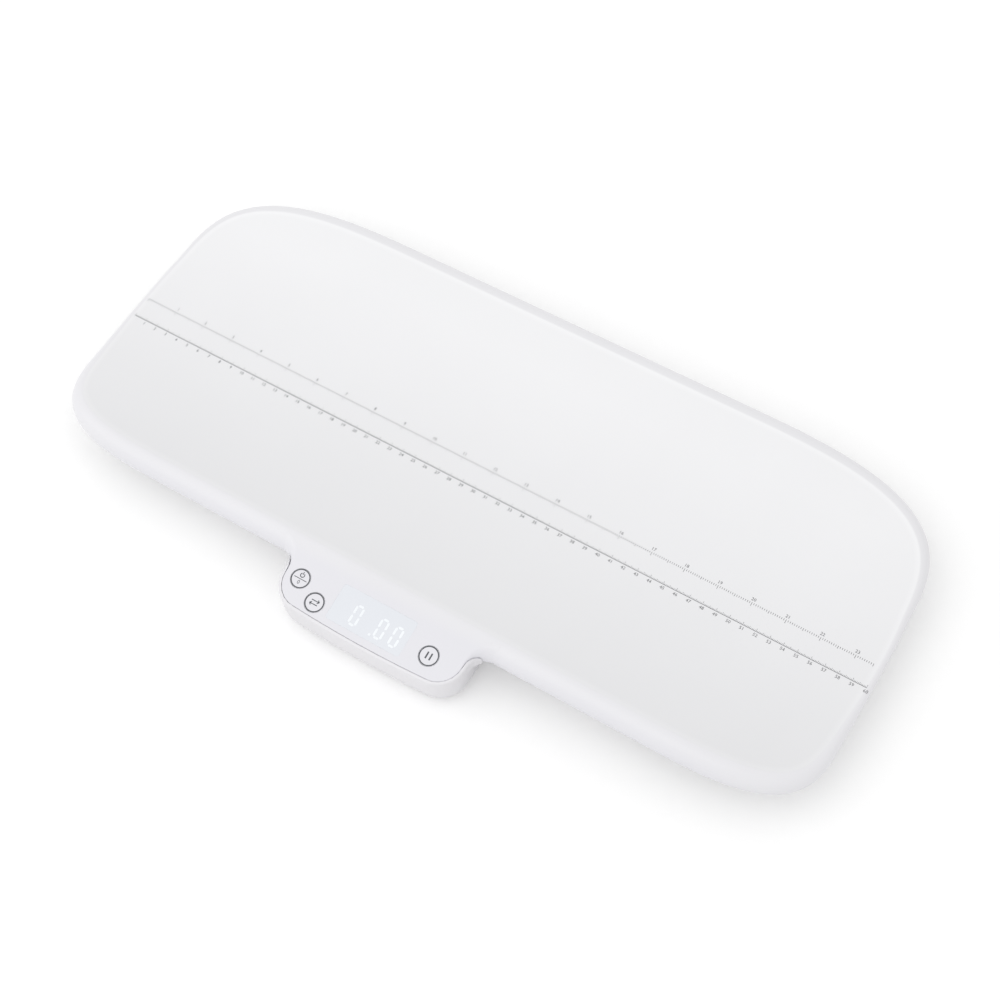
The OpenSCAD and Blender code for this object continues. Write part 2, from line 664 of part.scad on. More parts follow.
module foot_seats() {
    for (f = foot_places) translate([f[0], f[1], floor_top - tiny]) difference() {
        translate([-seat_side / 2, -seat_side / 2, 0]) cube([seat_side, seat_side, seat_z + cell_t - floor_top + tiny]);
        translate([-cell_side / 2 - cell_gap, -cell_side / 2 - cell_gap, seat_z - floor_top + tiny])
            cube([cell_side + 2 * cell_gap, cell_side + 2 * cell_gap, cell_t + 1]);
        translate([0, 0, -1]) cylinder(r = foot_r + foot_gap, h = seat_z);
    }
}
module battery_box() {
    y0 = hinge_y - barrel_r - door_gap - bay_wall;
    y1 = door_end + door_gap + 1.5;
    x = bay_l / 2 + cheek_t;
    translate([console_x - x, y0, base_z]) cube([2 * x, y1 - y0, bay_roof + bay_wall - base_z]);
}
module battery_hollow() {
    translate([console_x, 0, 0]) {
        // the cells' space
        translate([-bay_l / 2, bay_y - bay_w / 2, door_z + door_t + 0.3])
            cube([bay_l, bay_w, bay_roof - door_z - door_t - 0.3]);
        // the mouth that the door fills, and the space of its barrel and pull
        translate([-bay_l / 2 - door_gap, hinge_y, base_z - 1])
            cube([bay_l + 2 * door_gap, door_end + door_gap - hinge_y, door_t + 1.3]);
        translate([-bay_l / 2 - door_gap, hinge_y, hinge_z]) rotate([0, 90, 0])
            cylinder(r = barrel_r + door_gap, h = bay_l + 2 * door_gap);
        translate([-bay_l / 2 - door_gap, hinge_y - barrel_r - door_gap, base_z - 1])
            cube([bay_l + 2 * door_gap, 2 * (barrel_r + door_gap), hinge_z - base_z + 1]);
        translate([-bay_l / 2 - cheek_t - 1, hinge_y, hinge_z]) rotate([0, 90, 0])
            cylinder(r = pin_r + pin_gap, h = bay_l + 2 * cheek_t + 2);
        // a shallow scoop for the finger that opens the door
        translate([-9, door_end + 4, base_z - 6.5]) rotate([0, 90, 0]) cylinder(r = 8, h = 18);
    }
}
module base_shell() {
    color("white") in_tray_frame() union() {
        base_tub();
        console_lip();
    }
}
module base_tub() {
    difference() {
        union() {
            difference() {
                stacked_rings([for (s = base_profile) lift(base_edge(s[1]), s[0])]);
                stacked_rings([for (s = [[base_top + 1, top_inset], [floor_top + 5, 1], [floor_top, 4]])
                    lift(base_edge(s[1] + base_wall), s[0])]);
            }
            intersection() {
                for (p = housing_places) translate([p[0], p[1], base_z]) cylinder(r = post_r, h = split_z - base_z);
                stacked_rings([for (s = base_profile) lift(base_edge(s[1] + 0.2), s[0])]);
            }
            foot_seats();
            battery_box();
        }
        // the tray lies on the pan's walls
        translate([-tray_l / 2, 0, tray_z + trough_r]) rotate([0, 90, 0])
            cylinder(r = trough_r + tray_wall + 0.1, h = tray_l, $fn = 400);
        // the console's cap stands above the seam
        translate([-tray_l / 2, -tray_w, base_seam]) cube([tray_l, tray_w - half_w + front_roll, trough_r]);
        for (p = housing_places) translate([p[0], p[1], 0]) {
            cylinder(r = screw_r + 0.3, h = split_z + 1);
            cylinder(r = screw_head_r + 0.4, h = split_z - screw_seat);
        }
        for (f = foot_places) {
            translate([f[0], f[1], base_z - 1]) cylinder(r = foot_r + foot_gap, h = base_wall + 2);
            for (s = cell_screw_places) translate([f[0] + s[0], f[1] + s[1], seat_z - 5])
                cylinder(r = cell_screw_r + screw_gap, h = 6);
        }
        battery_hollow();
    }
}

// ---- battery door: barrel, plate, pull and two hinge pins ----
module battery_door() {
    color("white") in_tray_frame() translate([console_x, 0, 0]) union() {
        translate([-barrel_l / 2, hinge_y, hinge_z]) rotate([0, 90, 0]) cylinder(r = barrel_r, h = barrel_l);
        translate([-barrel_l / 2 - pin_l, hinge_y, hinge_z]) rotate([0, 90, 0])
            cylinder(r = pin_r, h = barrel_l + 2 * pin_l);
        translate([-bay_l / 2, hinge_y, door_z]) cube([bay_l, door_end - hinge_y, door_t]);
    }
}

// ---- batteries and their contacts ----
function battery_place(k) = bay_y + (k - (battery_count - 1) / 2) * (2 * battery_r + bay_gap);
nub_r = 1.9;
nub_l = 1;
nub_plate_x = bay_l / 2 - plate_t;
module batteries() {
    color("goldenrod") in_tray_frame() for (k = [0:battery_count - 1])
        translate([console_x, battery_place(k), cell_z]) mirror([k % 2, 0, 0]) rotate([0, 90, 0]) union() {
            translate([0, 0, nub_plate_x - tiny - battery_l]) cylinder(r = battery_r, h = battery_l - nub_l);
            translate([0, 0, nub_plate_x - tiny - nub_l - 0.1]) cylinder(r = nub_r, h = nub_l + 0.1);
        }
}
contact_side = 8;
module battery_plates() {
    color("silver") in_tray_frame() for (k = [0:battery_count - 1], s = [-1, 1])
        translate([console_x + s * (bay_l / 2 - plate_t / 2), battery_place(k), cell_z])
            translate([-plate_t / 2 + s * 0.0, -contact_side / 2, -contact_side / 2])
                cube([plate_t, contact_side, contact_side]);
}
// A spring is a tapered coil of wire, as one tube of six sides
spring_turns = 3;
spring_wire_r = 0.3;
spring_sides = 6;
spring_rings = 8;
spring_big_r = 3;
spring_small_r = 1.8;
spring_free = spring_l + 1 - 0.2;
module coil_spring() {
    steps = spring_turns * spring_rings;
    points = [for (j = [0:steps]) let (
            t = j / steps, a = 360 * spring_turns * t, r = spring_big_r + (spring_small_r - spring_big_r) * t,
            x = spring_wire_r + (spring_free - 2 * spring_wire_r) * t)
        each [for (k = [0:spring_sides - 1]) let (b = 360 * k / spring_sides, q = r + spring_wire_r * cos(b))
            [x + spring_wire_r * sin(b), q * cos(a), q * sin(a)]]];
    n = spring_sides;
    polyhedron(points = points, faces = concat(
        [[for (k = [0:n - 1]) k]],
        [for (j = [0:steps - 1]) for (k = [0:n - 1]) let (a = j * n + k, b = j * n + (k + 1) % n)
            each [[a, b + n, b], [a, a + n, b + n]]],
        [[for (k = [n - 1:-1:0]) steps * n + k]]));
}
module battery_springs() {
    color("silver") in_tray_frame() for (k = [0:battery_count - 1])
        translate([console_x, battery_place(k), cell_z]) mirror([k % 2, 0, 0])
            translate([-bay_l / 2 + plate_t + tiny, 0, 0]) coil_spring();
}

// ---- feet ----
pad_r = 12;
pad_h = 2;
cup_z = 1.5;
cup_h = 3.5;
foot_stem_r = 5;
rivet_r = 1.9;
rivet_head_r = 3.2;
rivet_head_h = 1.2;
cell_screw_r = 1;
cell_screw_places = [for (s = [-1, 1]) [s * (cell_side / 2 - 3.2), -s * (cell_side / 2 - 3.2)]];
module load_cell(k) {
    f = foot_places[k];
    slot = 1.6;
    tongue = cell_side * 0.42;
    arm = cell_side * 0.7;
    color("lightsteelblue") in_tray_frame() translate([f[0], f[1], seat_z]) difference() {
        translate([-cell_side / 2, -cell_side / 2, 0]) cube([cell_side, cell_side, cell_t]);
        // a slot on three sides frees the tongue that carries the foot
        for (s = [-1, 1]) translate([-arm / 2, s * tongue / 2 - slot / 2, -1]) cube([arm, slot, cell_t + 2]);
        translate([arm / 2 - slot, -tongue / 2, -1]) cube([slot, tongue, cell_t + 2]);
        translate([0, 0, -1]) cylinder(r = rivet_r + screw_gap, h = cell_t + 2);
        for (s = cell_screw_places) translate([s[0], s[1], -1]) cylinder(r = cell_screw_r + 0.2, h = cell_t + 2);
    }
}
module foot_cup(k) {
    f = foot_places[k];
    color("gainsboro") in_tray_frame() translate([f[0], f[1], 0]) difference() {
        union() {
            translate([0, 0, cup_z]) cylinder(r = foot_r, h = cup_h);
            translate([0, 0, cup_z + cup_h - tiny]) cylinder(r = foot_stem_r, h = seat_z - cup_z - cup_h + tiny);
        }
        translate([0, 0, cup_z - 1]) cylinder(r = pad_r + 0.1, h = pad_h - cup_z + 1);
        translate([0, 0, seat_z - 6]) cylinder(r = rivet_r + screw_gap, h = 7);
    }
}
module foot_pad(k) {
    f = foot_places[k];
    color("slategray") in_tray_frame() translate([f[0], f[1], 0]) cylinder(r = pad_r, h = pad_h);
}
module foot_rivets() {
    color("silver") in_tray_frame() for (f = foot_places) translate([f[0], f[1], 0]) union() {
        translate([0, 0, seat_z - 5]) cylinder(r = rivet_r, h = 5 + cell_t + tiny);
        translate([0, 0, seat_z + cell_t]) cylinder(r = rivet_head_r, h = rivet_head_h);
    }
}
gauge_x = -9;
gauge_h = 1.2;
module strain_gauges() {
    color("white") in_tray_frame() for (f = foot_places)
        translate([f[0] - 3.5, f[1] + cell_side / 2 - 5, seat_z + cell_t]) cube([7, 4, gauge_h]);
}
module load_cell_front_left() { load_cell(0); }
module load_cell_front_right() { load_cell(1); }
module load_cell_back_left() { load_cell(2); }
module load_cell_back_right() { load_cell(3); }
module foot_cup_front_left() { foot_cup(0); }
module foot_cup_front_right() { foot_cup(1); }
module foot_cup_back_left() { foot_cup(2); }
module foot_cup_back_right() { foot_cup(3); }
module foot_pad_front_left() { foot_pad(0); }
module foot_pad_front_right() { foot_pad(1); }
module foot_pad_back_left() { foot_pad(2); }
module foot_pad_back_right() { foot_pad(3); }
module cell_screws() {
    color("silver") in_tray_frame() for (f = foot_places, s = cell_screw_places)
        translate([f[0] + s[0], f[1] + s[1], seat_z + cell_t]) union() {
            cylinder(r = 1.9, h = 1.2);
            translate([0, 0, -cell_t - 3.5]) cylinder(r = cell_screw_r, h = cell_t + 3.5 + tiny);
        }
}

// ---- leads: straight runs with round joints, laid on the base's floor ----
module lead(points, r) {
    for (k = [0:len(points) - 2]) let (a = points[k], d = points[k + 1] - points[k], l = norm(d))
        translate(a) rotate([0, acos(d[2] / l), atan2(d[1], d[0])]) cylinder(r = r, h = l);
    for (k = [1:len(points) - 2]) translate(points[k]) sphere(r = r);
}
lead_z = floor_top + lead_r + tiny;
lead_high = seat_z + cell_t + lead_r + 0.1;
socket_bottom = face_z(face_y) + socket_v * sin(face_tilt) + (under_board - socket_h) * cos(face_tilt);
socket_y = face_y + socket_v * cos(face_tilt) - (under_board - socket_h) * sin(face_tilt);
module cell_lead(side, row) {
    x = console_x + side * (lead_in + (row < 0 ? lead_gap : 0));
    y = row * foot_y + cell_side / 2 - 7;
    out_x = side * (foot_x - seat_side / 2 - 4);
    color("white") in_tray_frame() union() lead([
        [side * foot_x - side * 4, y, lead_high], [out_x, y, lead_high],
        [out_x, y, lead_z], [x, y, lead_z], [x, socket_y, lead_z],
        [x, socket_y, socket_bottom - tiny - 0.6]
    ], lead_r);
}
module cell_lead_front_left() { cell_lead(-1, -1); }
module cell_lead_front_right() { cell_lead(1, -1); }
module cell_lead_back_left() { cell_lead(-1, 1); }
module cell_lead_back_right() { cell_lead(1, 1); }
module battery_lead() {
    start_y = hinge_y - barrel_r - door_gap - bay_wall;
    color("crimson") in_tray_frame() union() lead([
        [console_x, start_y - tiny, bay_roof - 2], [console_x, start_y - 4, bay_roof - 2],
        [console_x, start_y - 4, lead_z], [console_x, socket_y, lead_z],
        [console_x, socket_y, socket_bottom - tiny - 0.6]
    ], lead_r);
}

module housing_screws() {
    color("silver") in_tray_frame() for (p = housing_places) translate([p[0], p[1], split_z - screw_seat]) union() {
        translate([0, 0, -screw_head_h]) cylinder(r = screw_head_r, h = screw_head_h);
        translate([0, 0, -tiny]) cylinder(r = screw_r, h = screw_seat + screw_grip);
    }
}

tray_shell();
base_shell();
display_window();
display_diffuser();
display_module();
display_segments();
key_power_tare();
key_unit();
key_hold();
plunger_power_tare();
plunger_unit();
plunger_hold();
key_switches();
main_board();
control_chip();
weighing_chip();
board_parts();
lead_sockets();
battery_door();
batteries();
battery_springs();
battery_plates();
battery_lead();
load_cell_front_left();
load_cell_front_right();
load_cell_back_left();
load_cell_back_right();
foot_cup_front_left();
foot_cup_front_right();
foot_cup_back_left();
foot_cup_back_right();
foot_pad_front_left();
foot_pad_front_right();
foot_pad_back_left();
foot_pad_back_right();
foot_rivets();
strain_gauges();
cell_lead_front_left();
cell_lead_front_right();
cell_lead_back_left();
cell_lead_back_right();
housing_screws();
board_screws();
cell_screws();
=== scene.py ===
import math

import bmesh
import bpy
from mathutils import Matrix, Vector
from mathutils.kdtree import KDTree


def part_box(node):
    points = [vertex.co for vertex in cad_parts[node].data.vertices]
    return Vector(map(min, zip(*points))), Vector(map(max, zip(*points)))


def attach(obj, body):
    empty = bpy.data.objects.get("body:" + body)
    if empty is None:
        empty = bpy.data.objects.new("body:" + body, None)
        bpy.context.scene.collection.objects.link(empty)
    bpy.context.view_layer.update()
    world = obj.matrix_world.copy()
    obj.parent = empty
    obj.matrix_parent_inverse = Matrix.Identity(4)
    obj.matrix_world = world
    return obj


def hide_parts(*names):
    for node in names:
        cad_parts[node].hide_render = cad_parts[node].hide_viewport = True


bl_info = {
    "name": "Baby Weighing Scale Looks",
    "version": (1, 0, 0),
    "blender": (4, 5, 0),
    "location": "View3D > Sidebar > Baby Scale",
    "description": "Builds the tray, console, prints, display, feet and finishes of a digital baby weighing scale",
    "category": "Object",
}

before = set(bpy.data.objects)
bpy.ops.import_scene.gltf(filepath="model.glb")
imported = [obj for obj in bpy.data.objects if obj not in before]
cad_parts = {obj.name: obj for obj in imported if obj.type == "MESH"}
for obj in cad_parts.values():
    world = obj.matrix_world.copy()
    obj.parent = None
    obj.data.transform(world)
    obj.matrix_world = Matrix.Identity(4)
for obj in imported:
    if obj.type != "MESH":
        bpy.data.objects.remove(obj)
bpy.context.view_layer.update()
MM = 0.001
BODY = "scale"
PRINT = 0.00003  # thickness of a print and of a lit bar
PRINT_GAP = 0.00002  # space between a print and the face it lies on
WHITE = (1, 1, 1, 1)


# ---------------------------------------------------------------- settings


def metres(name, description, default):
    return bpy.props.FloatProperty(name=name, description=description, default=default, unit="LENGTH")


def shade(name, description, default):
    return bpy.props.FloatVectorProperty(
        name=name, description=description, default=default, size=3, subtype="COLOR")


def corner_runs(name, default):
    return bpy.props.FloatVectorProperty(
        name=name, description="Run along the long side and along the short side", default=default, size=2,
        unit="LENGTH")


class TrayShape(bpy.types.PropertyGroup):
    length: metres("Length", "Length of the tray from end to end", 0.610)
    width: metres("Width", "Depth of the tray from front to back", 0.262)
    wall: metres("Wall", "Thickness of the tray moulding", 0.0026)
    height: metres("Height", "Lowest line of the tray's top above the table", 0.032)
    sag: metres("Sag", "Rise from the middle line to the long edges", 0.009)
    rim_height: metres("Rim Height", "Rolled rim's height at the short sides", 0.003)
    skirt: metres("Skirt", "Straight skirt below the rolled rim", 0.0006)
    side_bow: metres("Side Bow", "How far the short sides bow outwards", 0.0009)
    back_corner: corner_runs("Back Corner", (0.170, 0.096))
    front_corner: corner_runs("Front Corner", (0.116, 0.070))
    squareness: bpy.props.FloatVectorProperty(
        name="Squareness", description="Squareness of the back and front corners, where 2 is an ellipse",
        default=(3.1, 3.4), size=2,
    )
    rib: metres("Rib", "Thickness of the ribs below the tray", 0.0018)


class ConsoleShape(bpy.types.PropertyGroup):
    shift: metres("Shift", "Sideways place from the tray's middle", -0.004)
    width: metres("Width", "Width between the straight sides", 0.142)
    reach: metres("Reach", "How far it stands out in front of the tray", 0.035)
    bow: metres("Bow", "How far the front edge bows outwards", 0.0015)
    corner: metres("Corner", "Radius of the front corners", 0.018)
    root: metres("Root", "Radius of the hollow corners at the tray", 0.015)
    tilt: bpy.props.FloatProperty(
        name="Tilt", description="Slope of the face", default=math.radians(10), subtype="ANGLE"
    )
    edge: metres("Edge", "Rounding of the face's outer edge", 0.0008)
    face_y: metres("Face Middle", "Middle of the face in front of the tray's middle", -0.147)
    lip: metres("Lip", "How far the base's lip stands out round the cap", 0.0024)


class KeyShape(bpy.types.PropertyGroup):
    radius: metres("Radius", "Radius of a key's cap", 0.00725)
    gap: metres("Gap", "Gap all round a key in its hole", 0.00015)
    ring: metres("Ring", "Outer radius of the printed ring", 0.0070)
    stroke: metres("Stroke", "Width of the printed ring", 0.00085)
    sign_stroke: metres("Sign Stroke", "Width of the strokes of the printed signs", 0.0006)


class WindowShape(bpy.types.PropertyGroup):
    width: metres("Width", "Width of the display window", 0.059)
    depth: metres("Depth", "Depth of the display window", 0.027)
    thickness: metres("Thickness", "Thickness of the display window", 0.0012)
    ledge: metres("Ledge", "Ledge that the window rests on", 0.002)
    digit: metres("Digit", "Height of a lit digit", 0.0155)


class RuleShape(bpy.types.PropertyGroup):
    line: metres("Line", "Width of the long line of the centimetre rule", 0.00034)
    tick: metres("Tick", "Width of a mark", 0.00022)
    centimetre_y: metres("Centimetre Line", "Place of the centimetre rule from the tray's middle", -0.0247)
    inch_y: metres("Inch Line", "Place of the inch rule from the tray's middle", -0.0065)
    start: metres("Start", "Place of both zeros from the tray's middle", -0.2992)
    number: metres("Number", "Height of the numbers", 0.0024)


class Finishes(bpy.types.PropertyGroup):
    tray: shade("Tray", "Colour of the tray moulding", (0.925, 0.925, 0.938))
    base: shade("Base", "Colour of the base and the battery door", (0.825, 0.815, 0.84))
    window: shade("Window", "Colour of the display window", (0.79, 0.813, 0.857))
    glow: shade("Glow", "Colour of the lit digits", (0.90, 0.93, 0.955))
    ink: shade("Ink", "Colour of the key prints", (0.085, 0.09, 0.10))
    rule_ink: shade("Rule Ink", "Colour of the printed rules", (0.16, 0.16, 0.17))


class Studio(bpy.types.PropertyGroup):
    lens: bpy.props.FloatProperty(
        name="Lens", description="Focal length on a sensor 36 mm wide", default=61.0, subtype="DISTANCE_CAMERA"
    )
    camera: bpy.props.FloatVectorProperty(
        name="Camera", description="Place of the camera from the tray's middle, on the table",
        default=(0.3601, -0.5000, 1.0593), size=3, subtype="TRANSLATION", unit="LENGTH",
    )
    sky: bpy.props.FloatProperty(
        name="Sky", description="Strength of the even light from all round", default=0.88
    )
    lamp: bpy.props.FloatProperty(
        name="Lamp", description="Power of the large lamp at the left in front", default=10.2, unit="POWER"
    )


PIECES = ("tray", "console", "keys", "window", "rules", "finishes", "studio")


def settings(name):
    return getattr(bpy.context.scene, "baby_scale_" + name)


# ---------------------------------------------------------------- helpers


def clear_selection():
    if bpy.context.object and bpy.context.object.mode != "OBJECT":
        bpy.ops.object.mode_set(mode="OBJECT")
    bpy.ops.object.select_all(action="DESELECT")


def pick(obj):
    clear_selection()
    obj.select_set(True)
    bpy.context.view_layer.objects.active = obj
    return obj


def named(name):
    obj = bpy.context.object
    obj.name = name
    obj.data.name = name
    return obj


def edit(obj, select="SELECT", mode="VERT"):
    pick(obj)
    bpy.ops.object.mode_set(mode="EDIT")
    bpy.ops.mesh.select_mode(type=mode)
    bpy.ops.mesh.select_all(action=select)


def leave_edit():
    bpy.ops.object.mode_set(mode="OBJECT")


def settle(obj):
    """Puts the object's place, turn and size into its mesh."""
    pick(obj)
    bpy.ops.object.transform_apply(location=True, rotation=True, scale=True)
    return obj


def modify(obj, kind, **values):
    pick(obj)
    bpy.ops.object.modifier_add(type=kind)
    modifier = obj.modifiers[-1]
    for key, value in values.items():
        setattr(modifier, key, value)
    bpy.ops.object.modifier_apply(modifier=modifier.name)
    return obj


def combine(obj, tool, operation):
    modify(obj, "BOOLEAN", object=tool, operation=operation, solver="EXACT")
    bpy.data.objects.remove(tool)
    return obj


def joined(objects, name):
    clear_selection()
    for obj in objects:
        obj.select_set(True)
    bpy.context.view_layer.objects.active = objects[0]
    if len(objects) > 1:
        bpy.ops.object.join()
    return named(name)


def clean(obj, threshold=1e-6):
    edit(obj)
    bpy.ops.mesh.remove_doubles(threshold=threshold)
    bpy.ops.mesh.normals_make_consistent(inside=False)
    leave_edit()
    return obj


def smooth(obj, angle, weight=60):
    pick(obj)
    bpy.ops.object.shade_smooth_by_angle(angle=math.radians(angle))
    return modify(obj, "WEIGHTED_NORMAL", keep_sharp=True, weight=weight)


def loft(name, rings):
    """A grid whose rows are laid on the rings and whose seam and poles are then closed."""
    across, rows = len(rings[0]), len(rings) - 1
    clear_selection()
    bpy.ops.mesh.primitive_grid_add(x_subdivisions=across, y_subdivisions=rows, size=1)
    obj = named(name)
    for vertex in obj.data.vertices:
        ring = rings[round((vertex.co.y + 0.5) * rows)]
        vertex.co = ring[round((vertex.co.x + 0.5) * across) % across]
    return clean(obj)


def cylinder(name, radius, low, high, turns, matrix=None, place=(0, 0)):
    clear_selection()
    bpy.ops.mesh.primitive_cylinder_add(
        vertices=turns, radius=radius, depth=high - low, location=(*place, (low + high) / 2))
    obj = settle(named(name))
    if matrix is not None:
        obj.data.transform(matrix)
    return obj


def block(name, low, high):
    clear_selection()
    middle = [(a + b) / 2 for a, b in zip(low, high)]
    bpy.ops.mesh.primitive_cube_add(size=1, location=middle)
    obj = named(name)
    obj.scale = [b - a for a, b in zip(low, high)]
    return settle(obj)


def rounded_plate(name, width, depth, low, high, radius, matrix):
    """A plate whose upright edges are rounded."""
    obj = block(name, (-width / 2, -depth / 2, low), (width / 2, depth / 2, high))
    edit(obj, "DESELECT", "EDGE")
    mesh = bmesh.from_edit_mesh(obj.data)
    for edge in mesh.edges:
        a, b = edge.verts
        edge.select_set(abs(a.co.x - b.co.x) < 1e-7 and abs(a.co.y - b.co.y) < 1e-7)
    bmesh.update_edit_mesh(obj.data)
    bpy.ops.mesh.bevel(offset=radius, segments=8, affect="EDGES")
    leave_edit()
    obj.data.transform(matrix)
    return obj


def ring_print(name, outer, stroke, turns):
    """A flat printed ring, made by insetting a disc and dropping its middle."""
    clear_selection()
    bpy.ops.mesh.primitive_circle_add(vertices=turns, radius=outer, fill_type="NGON")
    obj = named(name)
    edit(obj, mode="FACE")
    bpy.ops.mesh.inset(thickness=stroke)
    bpy.ops.mesh.delete(type="FACE")
    leave_edit()
    return modify(obj, "SOLIDIFY", thickness=PRINT, offset=1.0)


def number_print(number, height, place):
    """A plain number in the stock font, whose figures are 0.69 of its size high."""
    clear_selection()
    bpy.ops.object.text_add(location=(*place, 0))
    obj = bpy.context.object
    obj.data.body = str(number)
    obj.data.size = height / 0.69
    obj.data.extrude = PRINT / 2
    obj.data.resolution_u = 2
    obj.data.align_x = "CENTER"
    obj.data.align_y = "CENTER"
    bpy.ops.object.convert(target="MESH")
    obj = settle(named("number"))
    obj.data.transform(Matrix.Translation((0, 0, PRINT / 2)))
    return clean(obj, 1e-8)


def wear(obj, body, material, replaces=()):
    """Tells the body the piece rides on, its finish and the CAD node it stands in for."""
    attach(obj, body)
    obj.data.materials.clear()
    obj.data.materials.append(material)
    if replaces:
        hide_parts(*replaces)
    return obj


def dressed_copy(node, name, body, material, bevel, angle=40.0, flat=0.1):
    """A merged copy of a CAD node with softened edges, which stands in for the node."""
    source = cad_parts[node]
    clear_selection()
    obj = source.copy()
    obj.data = source.data.copy()
    bpy.context.scene.collection.objects.link(obj)
    obj.parent = None
    for key in [k for k in obj.keys() if k.startswith("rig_")]:
        del obj[key]
    obj.name = name
    obj.data.name = name
    pick(obj)
    if obj.data.has_custom_normals:
        bpy.ops.mesh.customdata_custom_splitnormals_clear()
    edit(obj)
    bpy.ops.mesh.remove_doubles(threshold=2e-6)
    bpy.ops.mesh.dissolve_limited(angle_limit=math.radians(flat))
    leave_edit()
    modify(
        obj, "BEVEL", width=bevel, segments=2, limit_method="ANGLE", angle_limit=math.radians(48),
        use_clamp_overlap=True)
    smooth(obj, angle)
    return wear(obj, body, material, (node,))


# ---------------------------------------------------------------- materials


def put(node, values):
    for name, number in values.items():
        node.inputs[name].default_value = number
    return node


def added(tree, kind, values=None, **sockets):
    """A new node with the values of its own sockets, and with links into the sockets that are named."""
    node = put(tree.nodes.new(kind), values or {})
    for name, socket in sockets.items():
        tree.links.new(socket, node.inputs[name])
    return node


def ramp(tree, factor, stops, steps="LINEAR"):
    """Colours at their places along a factor; gives the socket they come from."""
    node = added(tree, "ShaderNodeValToRGB", Fac=factor)
    node.color_ramp.interpolation = steps
    elements = node.color_ramp.elements
    while len(elements) < len(stops):
        elements.new(0.5)
    for element, (place, colour) in zip(elements, stops):
        element.position = place
        element.color = (*colour, 1)
    return node.outputs["Color"]


def mottled(name, colour, roughness, spread=0.012, grain=900.0, bump=0.03, metallic=0.0, coat=0.0, specular=0.5):
    """A moulded or plated finish: faint drifts of colour, a fine surface grain and uneven gloss."""
    material = bpy.data.materials.new(name)
    material.use_nodes = True
    tree = material.node_tree
    shader = put(tree.nodes["Principled BSDF"], {
        "Metallic": metallic, "Coat Weight": coat, "Coat Roughness": 0.12, "Specular IOR Level": specular})
    where = added(tree, "ShaderNodeTexCoord").outputs["Object"]
    drift = added(tree, "ShaderNodeTexNoise", {"Scale": 14.0, "Detail": 3.0}, Vector=where)
    low = [max(0.0, c * (1 - spread)) for c in colour]
    high = [min(1.0, c * (1 + spread)) for c in colour]
    tint = ramp(tree, drift.outputs["Fac"], ((0.3, low), (0.7, high)))
    tree.links.new(tint, shader.inputs["Base Color"])
    fine = added(tree, "ShaderNodeTexNoise", {"Scale": grain, "Detail": 4.0}, Vector=where).outputs["Fac"]
    gloss = added(
        tree, "ShaderNodeMapRange", {"To Min": roughness * 0.88, "To Max": min(1.0, roughness * 1.14)}, Value=fine)
    tree.links.new(gloss.outputs["Result"], shader.inputs["Roughness"])
    if bump:
        relief = added(tree, "ShaderNodeBump", {"Strength": bump, "Distance": 0.0002}, Height=fine)
        tree.links.new(relief.outputs["Normal"], shader.inputs["Normal"])
    return material


def coordinates(tree):
    return next(n for n in tree.nodes if n.bl_idname == "ShaderNodeTexCoord").outputs["Object"]


def along(tree, axis, low, high):
    """How far a point lies along one axis of the object, from 0 at the low end to 1 at the high end."""
    split = added(tree, "ShaderNodeSeparateXYZ", Vector=coordinates(tree))
    run = added(tree, "ShaderNodeMapRange", {"From Min": low, "From Max": high}, Value=split.outputs[axis])
    return run.outputs["Result"]


def brushed(name, colour, roughness):
    """Rolled steel with fine lines along its length."""
    material = mottled(name, colour, roughness, spread=0.05, grain=400.0, bump=0.08, metallic=1.0)
    tree = material.node_tree
    stretch = added(tree, "ShaderNodeMapping", {"Scale": (1.0, 30.0, 30.0)}, Vector=coordinates(tree))
    for node in tree.nodes:
        if node.bl_idname == "ShaderNodeTexNoise":
            tree.links.new(stretch.outputs["Vector"], node.inputs["Vector"])
    return material


def banded(name, low, high, bands):
    """Bands of grey across the length, as on a cell's jacket."""
    material = mottled(name, bands[0][1], 0.35, bump=0.02)
    tree = material.node_tree
    colour = ramp(tree, along(tree, "X", low, high), bands, "CONSTANT")
    tree.links.new(colour, tree.nodes["Principled BSDF"].inputs["Base Color"])
    return material


def glowing(name, colour, strength):
    material = mottled(name, colour, 0.4, spread=0.02, bump=0.0)
    put(material.node_tree.nodes["Principled BSDF"], {"Emission Color": (*colour, 1), "Emission Strength": strength})
    return material


def tracked(name, colour, roughness):
    """Green solder resist over a faint pattern of tracks."""
    material = mottled(name, colour, roughness, spread=0.06, bump=0.05)
    tree = material.node_tree
    tracks = added(tree, "ShaderNodeTexBrick", {
        "Scale": 260.0, "Color1": (*colour, 1), "Color2": (0.035, 0.23, 0.1, 1), "Mortar": (0.06, 0.32, 0.15, 1),
        "Mortar Size": 0.03}, Vector=coordinates(tree))
    tree.links.new(tracks.outputs["Color"], tree.nodes["Principled BSDF"].inputs["Base Color"])
    return material


def tint_along(tree, stops):
    """Tints that change slowly from the front to the back; gives the socket they come from."""
    reach = 0.16
    run = along(tree, "Y", -reach, reach)
    return ramp(tree, run, [((y + reach) / (2 * reach), tint) for y, tint in stops])


def blended(tree, kind, factor, first, second):
    """Mixes or multiplies two colour sockets, by a socket or in full."""
    mix = tree.nodes.new("ShaderNodeMix")
    mix.data_type = "RGBA"
    mix.blend_type = kind
    mix.inputs["Factor"].default_value = 1.0
    if factor is not None:
        tree.links.new(factor, mix.inputs["Factor"])
    colours = [socket for socket in mix.inputs if socket.type == "RGBA"]
    tree.links.new(first, colours[0])
    tree.links.new(second, colours[1])
    return next(socket for socket in mix.outputs if socket.type == "RGBA")


